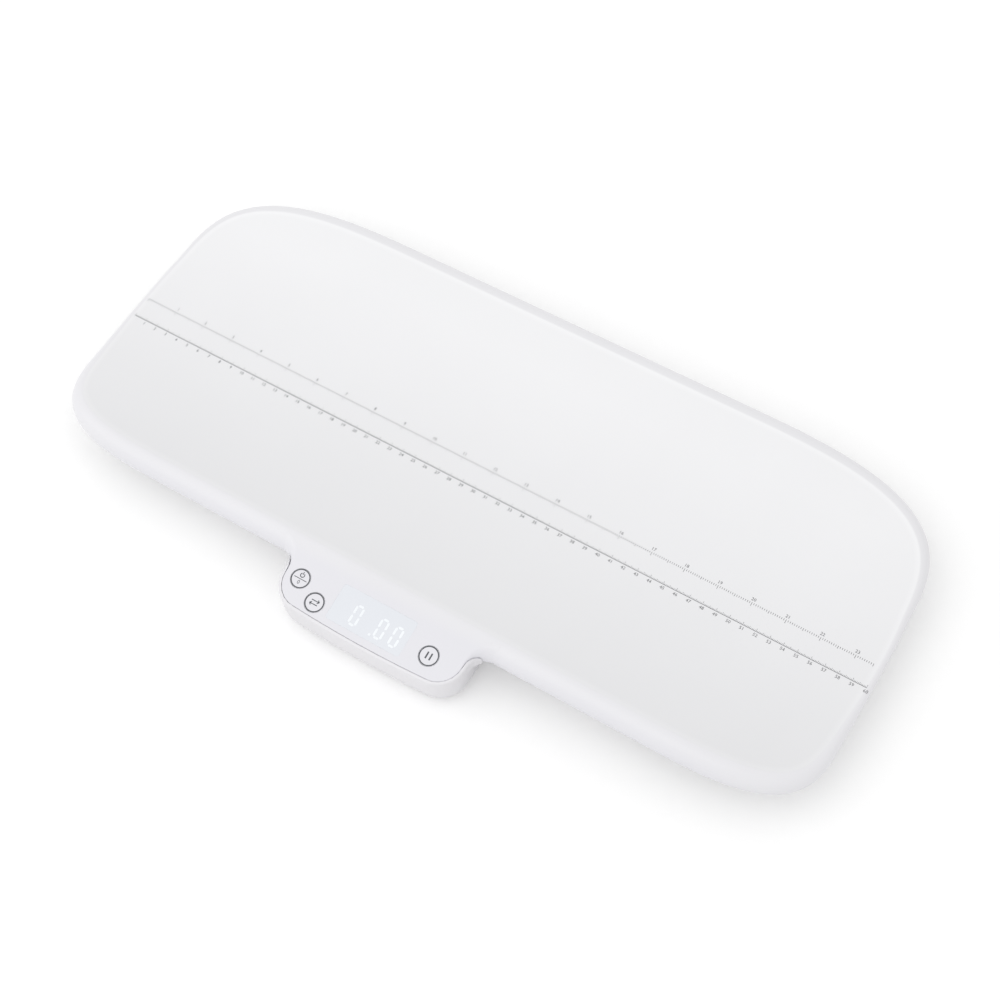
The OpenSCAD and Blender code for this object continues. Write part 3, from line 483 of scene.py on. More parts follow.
def rimmed(name, colour, inside, outside, crest):
    """Paints light and shade into the tray's colour by the rim attribute: painted shade and light along the trough,
    painted shade on the rolled rim and a painted highlight along the crest between them.
    """
    material = mottled(name, colour, 0.36, spread=0.006, coat=0.15)
    tree = material.node_tree
    base = tree.nodes["Principled BSDF"].inputs["Base Color"]
    rim = added(tree, "ShaderNodeAttribute")
    rim.attribute_name = "rim"
    step = added(tree, "ShaderNodeMapRange", {"From Min": 0.62, "From Max": 0.95}, Value=rim.outputs["Fac"])
    step.interpolation_type = "SMOOTHSTEP"
    # painted highlight: a pale line just inside the crest, lighter than the trough and the rim on either side
    line = ramp(tree, rim.outputs["Fac"], (
        (0.0, (crest,) * 3), (0.5, (1.0,) * 3), (0.65, (1.0,) * 3), (0.85, (crest,) * 3)))
    # painted shade: across the crest the trough's tints give way to the rim's
    tint = blended(tree, "MIX", step.outputs["Result"], tint_along(tree, inside), tint_along(tree, outside))
    tint = blended(tree, "MULTIPLY", None, tint, line)
    tree.links.new(blended(tree, "MULTIPLY", None, base.links[0].from_socket, tint), base)
    return material


def finish(name, make, *looks, **values):
    """The finish of that name, made when it is first asked for."""
    name += "_finish"
    return bpy.data.materials.get(name) or make(name, *looks, **values)


# painted shade and painted light on the trough: darker towards the front and lighter towards the back, as its slopes
# turn away from and towards the light
TROUGH_PAINTED_SHADE = (
    (-0.098, (0.885, 0.885, 0.887)), (-0.04, (0.915, 0.915, 0.917)), (0.02, (0.955, 0.955, 0.957)),
    (0.1, (1.0, 1.0, 1.0)),
)
# painted shade on the rolled rim, darker than the trough at the back and along the sides and a little lighter at the
# front; in front of the tray the same tints give the console's face a darker lavender tone
RIM_PAINTED_SHADE_AND_FACE_TONE = (
    (-0.113, (0.895, 0.89, 0.92)), (-0.106, (0.915, 0.91, 0.925)), (0.09, (0.915, 0.91, 0.92)),
    (0.14, (0.925, 0.92, 0.93)),
)
KEY_TINT = (0.868, 0.864, 0.893)


def tray_plastic():
    # the last number is the colour on either side of the painted highlight along the crest
    return finish("tray_plastic", rimmed, settings("finishes").tray, TROUGH_PAINTED_SHADE, RIM_PAINTED_SHADE_AND_FACE_TONE, 0.972)


def base_plastic():
    return finish("base_plastic", mottled, settings("finishes").base, 0.42, spread=0.008, bump=0.06)


def key_plastic():
    colour = [c * t for c, t in zip(settings("finishes").tray, KEY_TINT)]
    return finish("key_plastic", mottled, colour, 0.34, spread=0.006, coat=0.2)


def window_plastic():
    return finish("window_plastic", mottled, settings("finishes").window, 0.22, spread=0.01, coat=0.3)


def key_ink():
    return finish("key_ink", mottled, settings("finishes").ink, 0.5, spread=0.08, grain=3000.0, bump=0.02)


def rule_ink():
    return finish("rule_ink", mottled, settings("finishes").rule_ink, 0.5, spread=0.1, grain=3000.0, bump=0.02)


# ---------------------------------------------------------------- curves of the tray and the console


def outward(before, after):
    """The direction out of an outline, between two of its points."""
    dx, dy = after[0] - before[0], after[1] - before[1]
    size = math.hypot(dx, dy)
    return dy / size, -dx / size


class Form:
    """The tray's and the console's curves, from the sizes in the panel."""

    ARC_STEPS = 24  # along each rounding of the console's outline
    FRONT_STEPS = 24  # along the console's front edge
    LEAST = 0.0004  # smallest radius of a rounded edge
    SINK, END_SINK = 0.0004, 0.0001  # how far each root of the console dips below the tray's roll
    SINK_SHARE = 0.25  # the last part of a root, over which it dips

    def __init__(self):
        tray, console = settings("tray"), settings("console")
        self.tray, self.console = tray, console
        self.half_l = tray.length / 2
        self.half_w = tray.width / 2
        self.rim_low = tray.height - tray.rim_height
        self.skirt_z = self.rim_low - tray.skirt
        edge = self.half_w - 0.012
        self.trough_r = (edge**2 + tray.sag**2) / (2 * tray.sag)
        self.shift_y = (console.reach + console.lip) / 2
        self.front_roll = self.roll(self.half_w, 1.0)
        self.crest_y = -self.half_w + self.front_roll * (1 - math.sin(console.tilt))
        self.crest_z = self.rim_low + self.front_roll * math.cos(console.tilt)
        self.root_run = self.half_w + self.crest_y
        self.root_rise = self.crest_z - self.rim_low
        self.embed = tray.wall / 2
        self.front_y = -self.half_w - console.reach + console.bow

    def trough(self, y):
        """Height of the tray's top."""
        return self.tray.height + self.trough_r - math.sqrt(self.trough_r**2 - y**2)

    def roll(self, y, outward_y):
        """Radius of the rolled rim at a point of the outline."""
        r = self.trough(y) - self.rim_low
        for _ in range(3):
            r = self.trough(y - outward_y * r) - self.rim_low
        return r

    def quarter(self, run, square, sides, corners, longs):
        """A quarter of the outline: half a short side, a corner and half a long side."""
        bow = self.tray.side_bow
        points = []
        for k in range(sides):
            s = k / sides
            points.append((self.half_l - bow * s * s, (self.half_w - run[1]) * s))
        for k in range(corners + 1):
            a = math.pi / 2 * k / corners
            points.append((
                self.half_l - bow - run[0] * (1 - max(0.0, math.cos(a)) ** (2 / square)),
                self.half_w - run[1] * (1 - math.sin(a) ** (2 / square)),
            ))
        for k in range(1, longs):
            points.append(((self.half_l - bow - run[0]) * (1 - k / longs), self.half_w))
        return points

    def outline(self, sides=10, corners=44, longs=14):
        t = self.tray
        back = self.quarter(t.back_corner, t.squareness[0], sides, corners, longs)
        front = self.quarter(t.front_corner, t.squareness[1], sides, corners, longs)
        return (
            back + [(0.0, self.half_w)] + [(-x, y) for x, y in reversed(back)]
            + [(-x, -y) for x, y in front[1:]] + [(0.0, -self.half_w)]
            + [(x, -y) for x, y in reversed(front[1:])]
        )

    def face(self, y):
        """Height of the console's face."""
        return self.crest_z + (y - self.crest_y) * math.tan(self.console.tilt)

    def on_face(self, u=0.0, v=0.0, w=0.0):
        """Matrix of a place on the console's face, in the row frame."""
        c = self.console
        return (
            Matrix.Translation((c.shift, c.face_y + self.shift_y, self.face(c.face_y)))
            @ Matrix.Rotation(c.tilt, 4, "X") @ Matrix.Translation((u, v, w))
        )

    def console_edge(self, inset):
        c, arcs = self.console, self.ARC_STEPS
        half = c.width / 2
        root_x = half + c.root

        def arc(cx, cy, r, a0, a1):
            return [
                (cx + r * math.cos(math.radians(a0 + (a1 - a0) * k / arcs)),
                 cy + r * math.sin(math.radians(a0 + (a1 - a0) * k / arcs)))
                for k in range(arcs + 1)
            ]

        side = arc(-root_x, -self.half_w - c.root, c.root + inset, 90, 0)
        corner = arc(-half + c.corner, self.front_y + c.corner, c.corner - inset, 180, 270)
        front = []
        for k in range(1, self.FRONT_STEPS):
            s = 2 * k / self.FRONT_STEPS - 1
            front.append(((half - c.corner) * s, self.front_y + inset - c.bow * (1 - s * s)))
        return side + corner + front + [(-x, y) for x, y in reversed(side + corner)]

    def console_ring(self, inset, angle, back):
        """A ring round the console at one angle of its rounded edge, closed through a point behind."""
        path = self.console_edge(inset)
        n = len(path)
        edge = self.console.edge
        ring = [(path[0][0], back[0], back[1])]
        for k, (x, y) in enumerate(path):
            t = max(0.0, 1 - k / self.ARC_STEPS, 1 - (n - 1 - k) / self.ARC_STEPS)
            share = t * t * (3 - 2 * t)
            across = max(edge + (self.root_run - edge) * share - inset, self.LEAST)
            down = max(edge + (self.root_rise - edge) * share - inset, self.LEAST)
            ox, oy = (0.0, -1.0) if k in (0, n - 1) else outward(path[k - 1], path[k + 1])
            qx, qy = x - ox * across, y - oy * across
            # the last of each root dips just below the tray's roll, so that the cap grows out of it with no step
            dip = max(0.0, t - 1 + self.SINK_SHARE) / self.SINK_SHARE
            sink = (self.SINK * math.sin(2 * angle) + self.END_SINK * math.cos(angle)) * dip**2
            reach = (across - sink) * math.cos(angle)
            ring.append((
                qx + ox * reach, qy + oy * reach,
                self.face(qy) - inset - down * (1 - math.sin(angle)) - sink * math.sin(angle),
            ))
        ring.append((path[-1][0], back[0], back[1]))
        return ring


def capped_loft(name, rings, place):
    """Stacked rings whose ends are filled, moved to their place in the row frame."""
    obj = loft(name, rings)
    for end in (rings[0], rings[-1]):
        ends = [Vector(p) for p in end]
        edit(obj, "DESELECT", "EDGE")
        mesh = bmesh.from_edit_mesh(obj.data)
        for edge in mesh.edges:
            if edge.is_boundary:
                middle = edge.verts[0].co
                edge.select_set(min((middle - p).length for p in ends) < 2e-6)
        bmesh.update_edit_mesh(obj.data)
        bpy.ops.mesh.edge_face_add()
        leave_edit()
    clean(obj)
    obj.data.transform(Matrix.Translation(place))
    return obj


# each key's node and body, and its place across and up the console's face
KEYS = (
    ("key_power_tare", "power_tare_key", -0.0590, 0.0008),
    ("key_unit", "unit_key", -0.0412, -0.0090),
    ("key_hold", "hold_key", 0.0473, -0.0035),
)
WINDOW_V = -0.0008
CORNERS = ("front_left", "front_right", "back_left", "back_right")

# below the tray, in millimetres: posts for the housing's screws, posts for the board's screws on the console's
# face, and each rib's distance from the middle, lowest height and reach to the front and the back
HOUSING_POSTS = ((120, 84), (120, -84), (-120, 84), (-120, -84), (193, 0), (-193, 0), (51, -108), (-59, -108))
BOARD_POSTS = ((-31, 9.5), (31, 9.5), (-30.5, -11.2), (34, -11.2))
RIBS = ((45, 24, 92.6), (90, 24, 92.6), (145, 24, 92.6), (222, 28.4, 81), (246, 28.4, 81), (270, 28.4, 81))

# the rim attribute: 0 at this distance inside the crest, then rising to 1 over this run
RIM_START, RIM_RUN = 4.8 * MM, 5.6 * MM

# lengths of the short, middle and long marks of both rules, and the steps on which the last two stand
CENTIMETRE_MARKS, CENTIMETRE_STEPS = (0.0011, 0.0017, 0.0024), (5, 10)
INCH_MARKS, INCH_STEPS = (0.0015, 0.0022, 0.0030), (8, 16)
INCH = 0.0254


# ---------------------------------------------------------------- operators


class TrayBuilder(bpy.types.Operator):
    """Builds the tray with its rolled rim and, in one moulding with it, the console's cap"""

    bl_idname = "baby_scale.tray"
    bl_label = "Tray and Console Cap"

    def execute(self, context):
        form = Form()
        t, c = form.tray, form.console
        edge = form.outline()
        n = len(edge)
        out = [outward(edge[k - 1], edge[(k + 1) % n]) for k in range(n)]
        roll = [form.roll(edge[k][1], out[k][1]) for k in range(n)]
        inner = [max(r - t.wall, form.LEAST) for r in roll]

        def sheet(share, drop=0.0, inside=0.0):
            """A ring on the trough's top or below it, at a share of the way out or a distance inside the crest."""
            ring = []
            for (x, y), (ox, oy), r in zip(edge, out, roll):
                px, py = (x - ox * (r + inside)) * share, (y - oy * (r + inside)) * share
                ring.append((px, py, form.trough(py) - drop))
            return ring

        def rim(rolls, angle, low=None):
            """A ring round the rolled rim, at an angle from its outer side."""
            ring = []
            for (x, y), (ox, oy), r, q in zip(edge, out, roll, rolls):
                back = r - q * math.cos(angle)
                z = form.rim_low + q * math.sin(angle) if low is None else low
                ring.append((x - ox * back, y - oy * back, z))
            return ring

        shares = [1 - k / 18 for k in range(1, 18)]
        bends = [math.pi / 2 * k / 14 for k in range(15)]
        rings = [[(0, 0, t.height)] * n]
        rings += [sheet(s) for s in reversed(shares)]
        rings += [sheet(1.0, inside=d * MM) for d in (4.8, 3.2, 2.0, 1.0)]
        rings += [rim(roll, a) for a in reversed(bends)]
        rings += [rim(roll, 0.0, form.skirt_z), rim(inner, 0.0, form.skirt_z)]
        rings += [rim(inner, a) for a in bends[::2]]
        rings += [sheet(s, t.wall) for s in shares[::2]]
        rings.append([(0, 0, t.height - t.wall)] * n)
        tray = loft("tray_and_console", rings)
        tray.data.transform(Matrix.Translation((0, form.shift_y, 0)))

        rise, run = form.root_rise - form.embed, form.root_run - form.embed
        turns = [math.pi / 2 * k / 12 for k in range(12, -1, -1)]
        cap = [
            form.console_ring(0.0, a, (form.crest_y - run * math.cos(a), form.rim_low + rise * math.sin(a)))
            for a in turns
        ]
        low = form.console_ring(0.0, 0.0, (form.crest_y - run, form.skirt_z))
        cap.append([(x, y, form.skirt_z) for x, y, z in low])
        back_y = form.crest_y + form.embed
        drop = form.root_rise - t.wall
        hollow = [
            form.console_ring(t.wall, a, (back_y, form.face(back_y) - t.wall - drop * (1 - math.sin(a))))
            for a in turns
        ]
        low = form.console_ring(t.wall, 0.0, (back_y, 0.0))
        hollow.append([(x, y, form.skirt_z - 0.001) for x, y, z in low])
        place = (c.shift, form.shift_y, 0)
        cap = combine(capped_loft("cap", cap, place), capped_loft("hollow", hollow, place), "DIFFERENCE")
        combine(tray, cap, "UNION")

        supports = []
        for x, y in HOUSING_POSTS:
            y *= MM
            supports.append(cylinder(
                "post", 0.0038, 0.020, form.trough(y) - t.wall / 2, 40, place=(x * MM, y + form.shift_y)))
        for u, v in BOARD_POSTS:
            supports.append(cylinder("post", 0.0019, -0.0105, -t.wall / 2, 32, form.on_face(u * MM, v * MM)))
        for x, low, reach in RIBS:
            for side in (-1, 1):
                supports.append(self.rib(form, side * x * MM, low * MM, reach * MM))
        for support in supports:
            combine(tray, support, "UNION")

        k, w = settings("keys"), settings("window")
        cuts = [cylinder("cut", k.radius + k.gap, -0.00435, 0.001, 96, form.on_face(u, v)) for _, _, u, v in KEYS]
        seat = form.on_face(0, WINDOW_V)
        cuts.append(rounded_plate("cut", w.width + 0.00004, w.depth + 0.00004, -w.thickness, 0.001, 0.002, seat))
        cuts.append(rounded_plate(
            "cut", w.width - 2 * w.ledge, w.depth - 2 * w.ledge, -0.0036, -0.0005, 0.002, seat))
        for cut in cuts:
            combine(tray, cut, "DIFFERENCE")
        smooth(tray, 32.0, 50)
        self.mark_rim(form, tray, edge, out, roll)
        wear(tray, BODY, tray_plastic(), ("tray_shell",))
        return {"FINISHED"}

    @staticmethod
    def mark_rim(form, tray, edge, out, roll):
        """Stores on each point how far it lies across the crest, from 0 in the trough to 1 on the rim."""
        tree = KDTree(len(edge))
        crest = []
        for k, ((x, y), (ox, oy), r) in enumerate(zip(edge, out, roll)):
            crest.append(Vector((x - ox * r, y - oy * r + form.shift_y, 0)))
            tree.insert(crest[-1], k)
        tree.balance()
        rim = tray.data.attributes.new("rim", "FLOAT", "POINT")
        for vertex, mark in zip(tray.data.vertices, rim.data):
            flat = Vector((vertex.co.x, vertex.co.y, 0))
            _, k, _ = tree.find(flat)
            beyond = (flat - crest[k]).dot(Vector((out[k][0], out[k][1], 0)))
            mark.value = min(1.0, max(0.0, (beyond + RIM_START) / RIM_RUN))

    @staticmethod
    def rib(form, x, low, reach):
        """A plate that follows the tray's underside, from a grid laid along it."""
        clear_selection()
        steps = 24
        bpy.ops.mesh.primitive_grid_add(x_subdivisions=steps, y_subdivisions=1, size=1)
        plate = named("rib")
        for vertex in plate.data.vertices:
            y = vertex.co.x * 2 * reach
            top = min(form.trough(y) - form.tray.wall / 2, form.trough(reach) + 0.001)
            z = top if vertex.co.y > 0 else low
            vertex.co = (x, y + form.shift_y, z)
        modify(plate, "SOLIDIFY", thickness=form.tray.rib, offset=0.0)
        return clean(plate)


class BaseBuilder(bpy.types.Operator):
    """Dresses the lower housing and the battery door"""

    bl_idname = "baby_scale.base"
    bl_label = "Base and Battery Door"

    def execute(self, context):
        for node, name, body in (("base_shell", "lower_housing", BODY), ("battery_door", "battery_lid", "door")):
            dressed_copy(node, name, body, base_plastic(), 0.0003, 42.0, 0.4)
        return {"FINISHED"}


class KeyBuilder(bpy.types.Operator):
    """Builds the caps of the keys with their printed rings and signs"""

    bl_idname = "baby_scale.keys"
    bl_label = "Keys"

    def execute(self, context):
        form = Form()
        k = settings("keys")
        for node, body, u, v in KEYS:
            dressed_copy(node, node + "_cap", body, key_plastic(), 0.00035)
            place = form.on_face(u, v, 0.00001)
            ring = ring_print(node + "_ring", k.ring, k.stroke, 96)
            ring.data.transform(place)
            wear(ring, body, key_ink())
            sign = joined(getattr(self, node)(k), node + "_sign")
            sign.data.transform(place)
            wear(sign, body, key_ink())
        return {"FINISHED"}

    @staticmethod
    def bar(width, height, x=0.0, y=0.0, turn=0.0):
        plate = block("bar", (-width / 2, -height / 2, 0), (width / 2, height / 2, PRINT))
        plate.data.transform(Matrix.Translation((x, y, 0)) @ Matrix.Rotation(turn, 4, "Z"))
        return plate

    @staticmethod
    def open_ring(radius, stroke, y, gap):
        """A ring that is open at the top."""
        ring = ring_print("arc", radius, stroke, 48)
        edit(ring, "DESELECT")
        mesh = bmesh.from_edit_mesh(ring.data)
        for vertex in mesh.verts:
            vertex.select_set(vertex.co.y > 0 and abs(vertex.co.x) < gap)
        mesh.select_flush(True)
        bmesh.update_edit_mesh(ring.data)
        bpy.ops.mesh.delete(type="VERT")
        bpy.ops.mesh.select_mode(type="EDGE")
        bpy.ops.mesh.select_all(action="DESELECT")
        bpy.ops.mesh.select_non_manifold()
        bpy.ops.mesh.fill()
        leave_edit()
        ring.data.transform(Matrix.Translation((0, y, 0)))
        return ring

    def key_power_tare(self, k):
        """An open ring with an upright stroke, over a line and a nought."""
        s = k.sign_stroke
        return [
            self.open_ring(0.0018, s, 0.0027, 0.0007),
            self.bar(s, 0.0021, 0, 0.0041),
            self.bar(0.0100, s * 0.8, 0, -0.0002),
            number_print(0, 0.0028, (0, -0.0028)),
        ]

    def key_unit(self, k):
        """Two arrows that point apart."""
        s = k.sign_stroke
        parts = []
        for side in (-1, 1):
            y = side * 0.0013
            parts.append(self.bar(0.0058, s, 0, y))
            tip = side * 0.0031
            for lean in (-1, 1):
                parts.append(self.bar(
                    0.0019, s, tip - side * 0.0006, y + lean * 0.0006, -side * lean * math.radians(45)))
        return parts

    def key_hold(self, k):
        """Two upright bars, thicker than the strokes of the other signs."""
        return [self.bar(0.0011, 0.0050, x) for x in (-0.0015, 0.0015)]


class DisplayBuilder(bpy.types.Operator):
    """Builds the flush window and the lit digits that shine through it"""

    bl_idname = "baby_scale.display"
    bl_label = "Display"

    def execute(self, context):
        form = Form()
        height = settings("window").digit  # of a lit digit
        dressed_copy("display_window", "window_pane", BODY, window_plastic(), 0.00004)
        glow = finish("digit_glow", glowing, settings("finishes").glow, 0.03)
        bars = []
        for u in (-0.0107, 0.0094, 0.021):
            bars += self.digit(height, u)
        point = Matrix.Translation((0.004, -height * 0.445, 0))
        bars.append(cylinder("dot", height * 0.06, 0, PRINT, 20, point))
        lit = joined(bars, "lit_digits")
        lit.data.transform(form.on_face(0, WINDOW_V - 0.0024, PRINT_GAP))
        wear(lit, BODY, glow)
        return {"FINISHED"}

    @staticmethod
    def digit(height, u):
        """The six outer bars of a nought."""
        width, t, gap = height * 0.44, height * 0.11, height * 0.025
        half = height / 2 - t / 2
        across, up = width - t - 2 * gap, half - 2 * gap
        bars = []
        places = [(0, half, across, 0), (0, -half, across, 0)]
        places += [(sx * (width - t) / 2, sy * half / 2, up, math.pi / 2) for sx in (-1, 1) for sy in (-1, 1)]
        for x, y, length, turn in places:
            clear_selection()
            bpy.ops.mesh.primitive_cylinder_add(vertices=6, radius=1, depth=1)
            bar = named("bar")
            for vertex in bar.data.vertices:
                vertex.co = DisplayBuilder.corner(vertex.co, length, t)
            bar.data.transform(Matrix.Translation((x + u, y, 0)) @ Matrix.Rotation(turn, 4, "Z"))
            bars.append(bar)
        return bars

    @staticmethod
    def corner(co, length, thick):
        """Corner of a bar with pointed ends, for the matching corner of a hexagonal prism."""
        step = round(math.degrees(math.atan2(co.x, co.y)) / 60) % 6
        end, flat = length / 2, length / 2 - thick / 2
        x = (end, flat, -flat, -end, -flat, flat)[step]
        y = (0, -0.5, -0.5, 0, 0.5, 0.5)[step] * thick
        return Vector((x, y, PRINT if co.z > 0 else 0.0))


class RuleBuilder(bpy.types.Operator):
    """Prints the centimetre rule and the inch rule on the tray"""

    bl_idname = "baby_scale.rules"
    bl_label = "Printed Rules"

    def execute(self, context):
        form = Form()
        r = settings("rules")
        half = r.line / 2
        marks = self.marks(form, 601, 0.001, r.centimetre_y, 1, CENTIMETRE_MARKS, CENTIMETRE_STEPS, r.tick)
        low = (r.start - 0.0002, r.centimetre_y - half, 0)
        high = (r.start + 0.6002, r.centimetre_y + half, PRINT)
        line = self.lay(form, block("line", low, high))
        wear(joined([marks, line], "rule_centimetres"), BODY, rule_ink())
        marks = self.marks(form, 16 * 23 + 9, INCH / 16, r.inch_y, -1, INCH_MARKS, INCH_STEPS, r.tick * 1.4)
        wear(joined([marks], "rule_inches"), BODY, rule_ink())
        # the numbers stand in front of the centimetre line, a little right of their marks, and behind the inch line
        for name, count, step, x, y in (
            ("rule_centimetre_numbers", 60, 0.01, r.start + 0.0006, r.centimetre_y - 0.0027),
            ("rule_inch_numbers", 23, INCH, r.start, r.inch_y + 0.0023),
        ):
            numbers = [
                self.lay(form, number_print(n, r.number, (x + n * step, y))) for n in range(1, count + 1)
            ]
            wear(joined(numbers, name), BODY, rule_ink())
        return {"FINISHED"}

    @staticmethod
    def lay(form, obj):
        """Drops a flat print onto the tray's curved top."""
        for vertex in obj.data.vertices:
            x, y, z = vertex.co
            vertex.co = (x, y + form.shift_y, form.trough(y) + z + PRINT_GAP)
        return obj

    def marks(self, form, count, step, y, side, lengths, steps, width):
        """Marks repeated along the rule by an array, then drawn out to their lengths."""
        start, stub = settings("rules").start, side * 0.0001
        marks = block(
            "mark", (start - width / 2, min(0, stub) + y, 0), (start + width / 2, max(0, stub) + y, PRINT))
        modify(
            marks, "ARRAY", count=count, use_relative_offset=False, use_constant_offset=True,
            constant_offset_displace=(step, 0, 0))
        for vertex in marks.data.vertices:
            k = round((vertex.co.x - start) / step)
            length = lengths[2] if k % steps[1] == 0 else lengths[1] if k % steps[0] == 0 else lengths[0]
            if (vertex.co.y - y) * side > abs(stub) / 2:
                vertex.co.y = y + side * length
        return self.lay(form, marks)


class FootBuilder(bpy.types.Operator):
    """Dresses the foot cups and the rubber pads, with a ring of grip grooves in each pad"""

    bl_idname = "baby_scale.feet"
    bl_label = "Feet"

    def execute(self, context):
        cup = finish("foot_plastic", mottled, (0.66, 0.67, 0.69), 0.5, spread=0.02)
        rubber = finish(
            "pad_rubber", mottled, (0.16, 0.165, 0.18), 0.82, spread=0.06, grain=1500.0, bump=0.25, specular=0.3)
        for place in CORNERS:
            dressed_copy("foot_cup_" + place, "cup_" + place, BODY, cup, 0.0004)
            pad = self.pad("foot_pad_" + place)
            wear(pad, BODY, rubber, ("foot_pad_" + place,))
        return {"FINISHED"}

    @staticmethod
    def pad(node):
        """A disc with three ring grooves in its underside."""
        low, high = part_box(node)
        middle = (low + high) / 2
        radius = (high.x - low.x) / 2
        clear_selection()
        bpy.ops.mesh.primitive_cylinder_add(
            vertices=72, radius=radius, depth=high.z - low.z, location=(middle.x, middle.y, middle.z))
        pad = settle(named(node.replace("foot_pad", "pad")))
        land, wall, groove, depth = 0.0020, 0.0001, 0.0009, 0.0005
        for step, sink in ((land, 0.0), (wall, depth), (groove, 0.0), (wall, -depth)) * 3:
            edit(pad, "DESELECT", "FACE")
            mesh = bmesh.from_edit_mesh(pad.data)
            floor = next(f for f in mesh.faces if f.normal.z < -0.9 and len(f.verts) > 8)
            floor.select_set(True)
            bmesh.update_edit_mesh(pad.data)
            bpy.ops.mesh.inset(thickness=step, depth=-sink)
            leave_edit()
        modify(pad, "BEVEL", width=0.0002, segments=2, limit_method="ANGLE", angle_limit=math.radians(50))
        return smooth(pad, 40.0)


class InnerFinisher(bpy.types.Operator):
    """Gives the board, cells, contacts, leads and screws their finishes"""

    bl_idname = "baby_scale.inside"
    bl_label = "Inner Pieces"

    def execute(self, context):
        steel = finish("cell_steel", brushed, (0.58, 0.59, 0.61), 0.34)
        screw = finish("screw_steel", mottled, (0.66, 0.66, 0.68), 0.28, spread=0.05, metallic=1.0)
        contact = finish("contact_steel", mottled, (0.78, 0.78, 0.79), 0.2, spread=0.04, metallic=1.0)
        black = finish("black_plastic", mottled, (0.035, 0.035, 0.038), 0.55, spread=0.1, bump=0.1)
        dark = finish("plunger_plastic", mottled, (0.09, 0.09, 0.1), 0.5, spread=0.08)
        board = finish("board_green", tracked, (0.03, 0.2, 0.09), 0.32)
        gauge = finish("gauge_coat", mottled, (0.8, 0.8, 0.77), 0.55, spread=0.05, bump=0.2)
        white = finish("lead_white", mottled, (0.78, 0.78, 0.77), 0.48, spread=0.03)
        red = finish("lead_red", mottled, (0.55, 0.04, 0.035), 0.45, spread=0.06)
        part = finish("part_metal", mottled, (0.7, 0.71, 0.73), 0.35, spread=0.06, metallic=1.0)
        socket = finish("socket_plastic", mottled, (0.8, 0.77, 0.68), 0.5, spread=0.03)
        film = finish("diffuser_film", mottled, (0.82, 0.86, 0.91), 0.6, spread=0.01)
        case = finish("module_plastic", mottled, (0.78, 0.8, 0.84), 0.5, spread=0.01)
        resin = finish("segment_plastic", glowing, (0.9, 0.96, 1.0), 0.4)
        end, side, middle = (0.5, 0.5, 0.51), (0.6, 0.61, 0.63), (0.42, 0.43, 0.45)
        jacket = finish("battery_jacket", banded, -0.02925, 0.02125, (
            (0.0, end), (0.06, side), (0.45, middle), (0.55, side), (0.94, end)))
        wearing = {
            "display_diffuser": film, "display_module": case, "display_segments": resin,
            "key_switches": black, "main_board": board, "control_chip": black, "weighing_chip": black,
            "board_parts": part, "lead_sockets": socket, "batteries": jacket, "battery_springs": contact,
            "battery_plates": contact, "battery_lead": red, "foot_rivets": screw, "strain_gauges": gauge,
            "housing_screws": screw, "board_screws": screw, "cell_screws": screw,
        }
        for place in CORNERS:
            wearing["load_cell_" + place] = steel
            wearing["cell_lead_" + place] = white
        for key in ("power_tare", "unit", "hold"):
            wearing["plunger_" + key] = dark
        for node, material in wearing.items():
            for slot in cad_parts[node].material_slots:
                slot.material = material
        return {"FINISHED"}


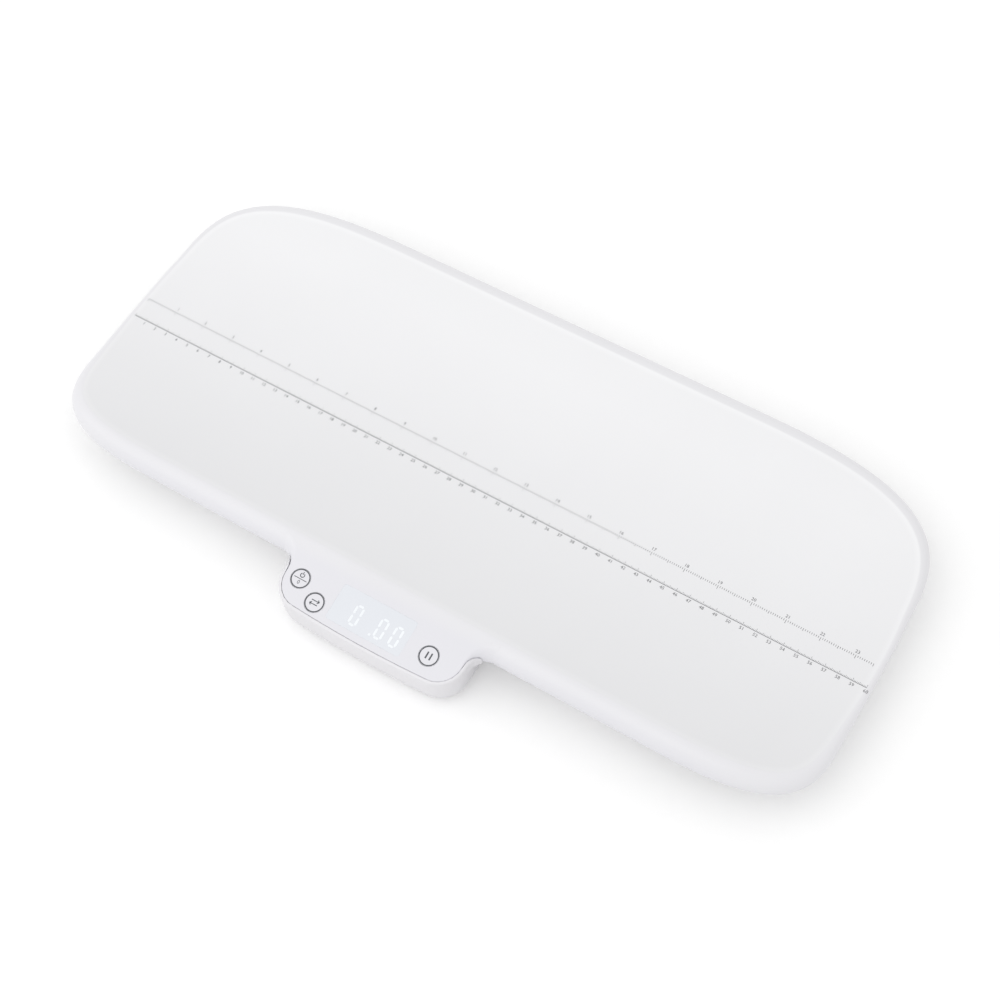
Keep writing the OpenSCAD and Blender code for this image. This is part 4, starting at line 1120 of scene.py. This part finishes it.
class StageBuilder(bpy.types.Operator):
    """Sets the pale floor, the soft light and the camera"""

    bl_idname = "baby_scale.stage"
    bl_label = "Stage"

    def execute(self, context):
        studio = settings("studio")
        form = Form()
        clear_selection()
        bpy.ops.mesh.primitive_plane_add(size=14)
        floor = named("floor")
        floor.data.materials.append(self.white())

        world = bpy.data.worlds.new("sky")
        context.scene.world = world
        world.use_nodes = True
        tree = world.node_tree
        sky = put(tree.nodes["Background"], {"Color": WHITE, "Strength": studio.sky})
        seen = added(tree, "ShaderNodeBackground", {"Color": WHITE, "Strength": 1.0})
        mix = added(tree, "ShaderNodeMixShader", Fac=self.looking(tree))
        tree.links.new(sky.outputs["Background"], mix.inputs[1])
        tree.links.new(seen.outputs["Background"], mix.inputs[2])
        tree.links.new(mix.outputs["Shader"], tree.nodes["World Output"].inputs["Surface"])

        clear_selection()
        place = Vector((-0.95, -1.2, 1.7))
        bpy.ops.object.light_add(type="AREA", location=place)
        lamp = bpy.context.object
        lamp.name = "lamp"
        lamp.data.size = 2.4
        lamp.data.energy = studio.lamp
        lamp.rotation_euler = (-place).to_track_quat("-Z", "Y").to_euler()

        clear_selection()
        bpy.ops.object.camera_add()
        camera = bpy.context.object
        camera.name = "camera"
        # the camera's right and back, solved from the marks of both rules
        right = Vector((0.85352, 0.51932, -0.04093)).normalized()
        back = Vector((0.28665, -0.40291, 0.86917)).normalized()
        up = back.cross(right).normalized()
        right = up.cross(back)
        turn = Matrix((right, up, back)).transposed().to_4x4()
        place = Vector(studio.camera) + Vector((0, form.shift_y, 0))
        camera.matrix_world = Matrix.Translation(place) @ turn
        camera.data.sensor_width = 36.0
        camera.data.lens = studio.lens
        camera.data.clip_end = 50
        context.scene.camera = camera
        context.scene.view_settings.view_transform = "Standard"
        return {"FINISHED"}

    @staticmethod
    def looking(tree):
        """1 for rays from the camera and in gloss or glass, so that these see the pale background."""
        path = added(tree, "ShaderNodeLightPath")
        seen = path.outputs["Is Camera Ray"]
        for kind in ("Is Glossy Ray", "Is Transmission Ray"):
            either = added(tree, "ShaderNodeMath")
            either.operation = "MAXIMUM"
            tree.links.new(seen, either.inputs[0])
            tree.links.new(path.outputs[kind], either.inputs[1])
            seen = either.outputs["Value"]
        return seen

    def white(self):
        """Matt white that also shines a little towards the camera, and lights nothing else."""
        material = bpy.data.materials.new("floor_white")
        material.use_nodes = True
        tree = material.node_tree
        tree.nodes.remove(tree.nodes["Principled BSDF"])
        matte = added(tree, "ShaderNodeBsdfDiffuse", {"Color": (0.86, 0.86, 0.86, 1)})
        glow = added(tree, "ShaderNodeMath")
        glow.operation = "MULTIPLY"
        tree.links.new(self.looking(tree), glow.inputs[0])
        glow.inputs[1].default_value = 0.22
        lift = added(tree, "ShaderNodeEmission", {"Color": WHITE}, Strength=glow.outputs["Value"])
        both = added(tree, "ShaderNodeAddShader")
        tree.links.new(matte.outputs["BSDF"], both.inputs[0])
        tree.links.new(lift.outputs["Emission"], both.inputs[1])
        tree.links.new(both.outputs["Shader"], tree.nodes["Material Output"].inputs["Surface"])
        return material


class ScalePanel(bpy.types.Panel):
    """Lists the pieces and their sizes"""

    bl_idname = "VIEW3D_PT_baby_scale"
    bl_label = "Baby Scale"
    bl_space_type = "VIEW_3D"
    bl_region_type = "UI"
    bl_category = "Baby Scale"

    def draw(self, context):
        for operator in OPERATORS:
            self.layout.operator(operator.bl_idname)
        for name in PIECES:
            box = self.layout.box()
            box.label(text=name.capitalize())
            group = settings(name)
            for prop in type(group).__annotations__:
                box.prop(group, prop)


GROUPS = (TrayShape, ConsoleShape, KeyShape, WindowShape, RuleShape, Finishes, Studio)
OPERATORS = (
    TrayBuilder, BaseBuilder, KeyBuilder, DisplayBuilder, RuleBuilder, FootBuilder, InnerFinisher, StageBuilder
)


def register():
    for cls in GROUPS + OPERATORS + (ScalePanel,):
        bpy.utils.register_class(cls)
    for name, group in zip(PIECES, GROUPS):
        setattr(bpy.types.Scene, "baby_scale_" + name, bpy.props.PointerProperty(type=group))


def unregister():
    for name in PIECES:
        delattr(bpy.types.Scene, "baby_scale_" + name)
    for cls in reversed(GROUPS + OPERATORS + (ScalePanel,)):
        bpy.utils.unregister_class(cls)


def main():
    register()
    bpy.ops.baby_scale.tray()
    bpy.ops.baby_scale.base()
    bpy.ops.baby_scale.keys()
    bpy.ops.baby_scale.display()
    bpy.ops.baby_scale.rules()
    bpy.ops.baby_scale.feet()
    bpy.ops.baby_scale.inside()
    bpy.ops.baby_scale.stage()
    bpy.context.view_layer.update()


if __name__ == "__main__":
    main()
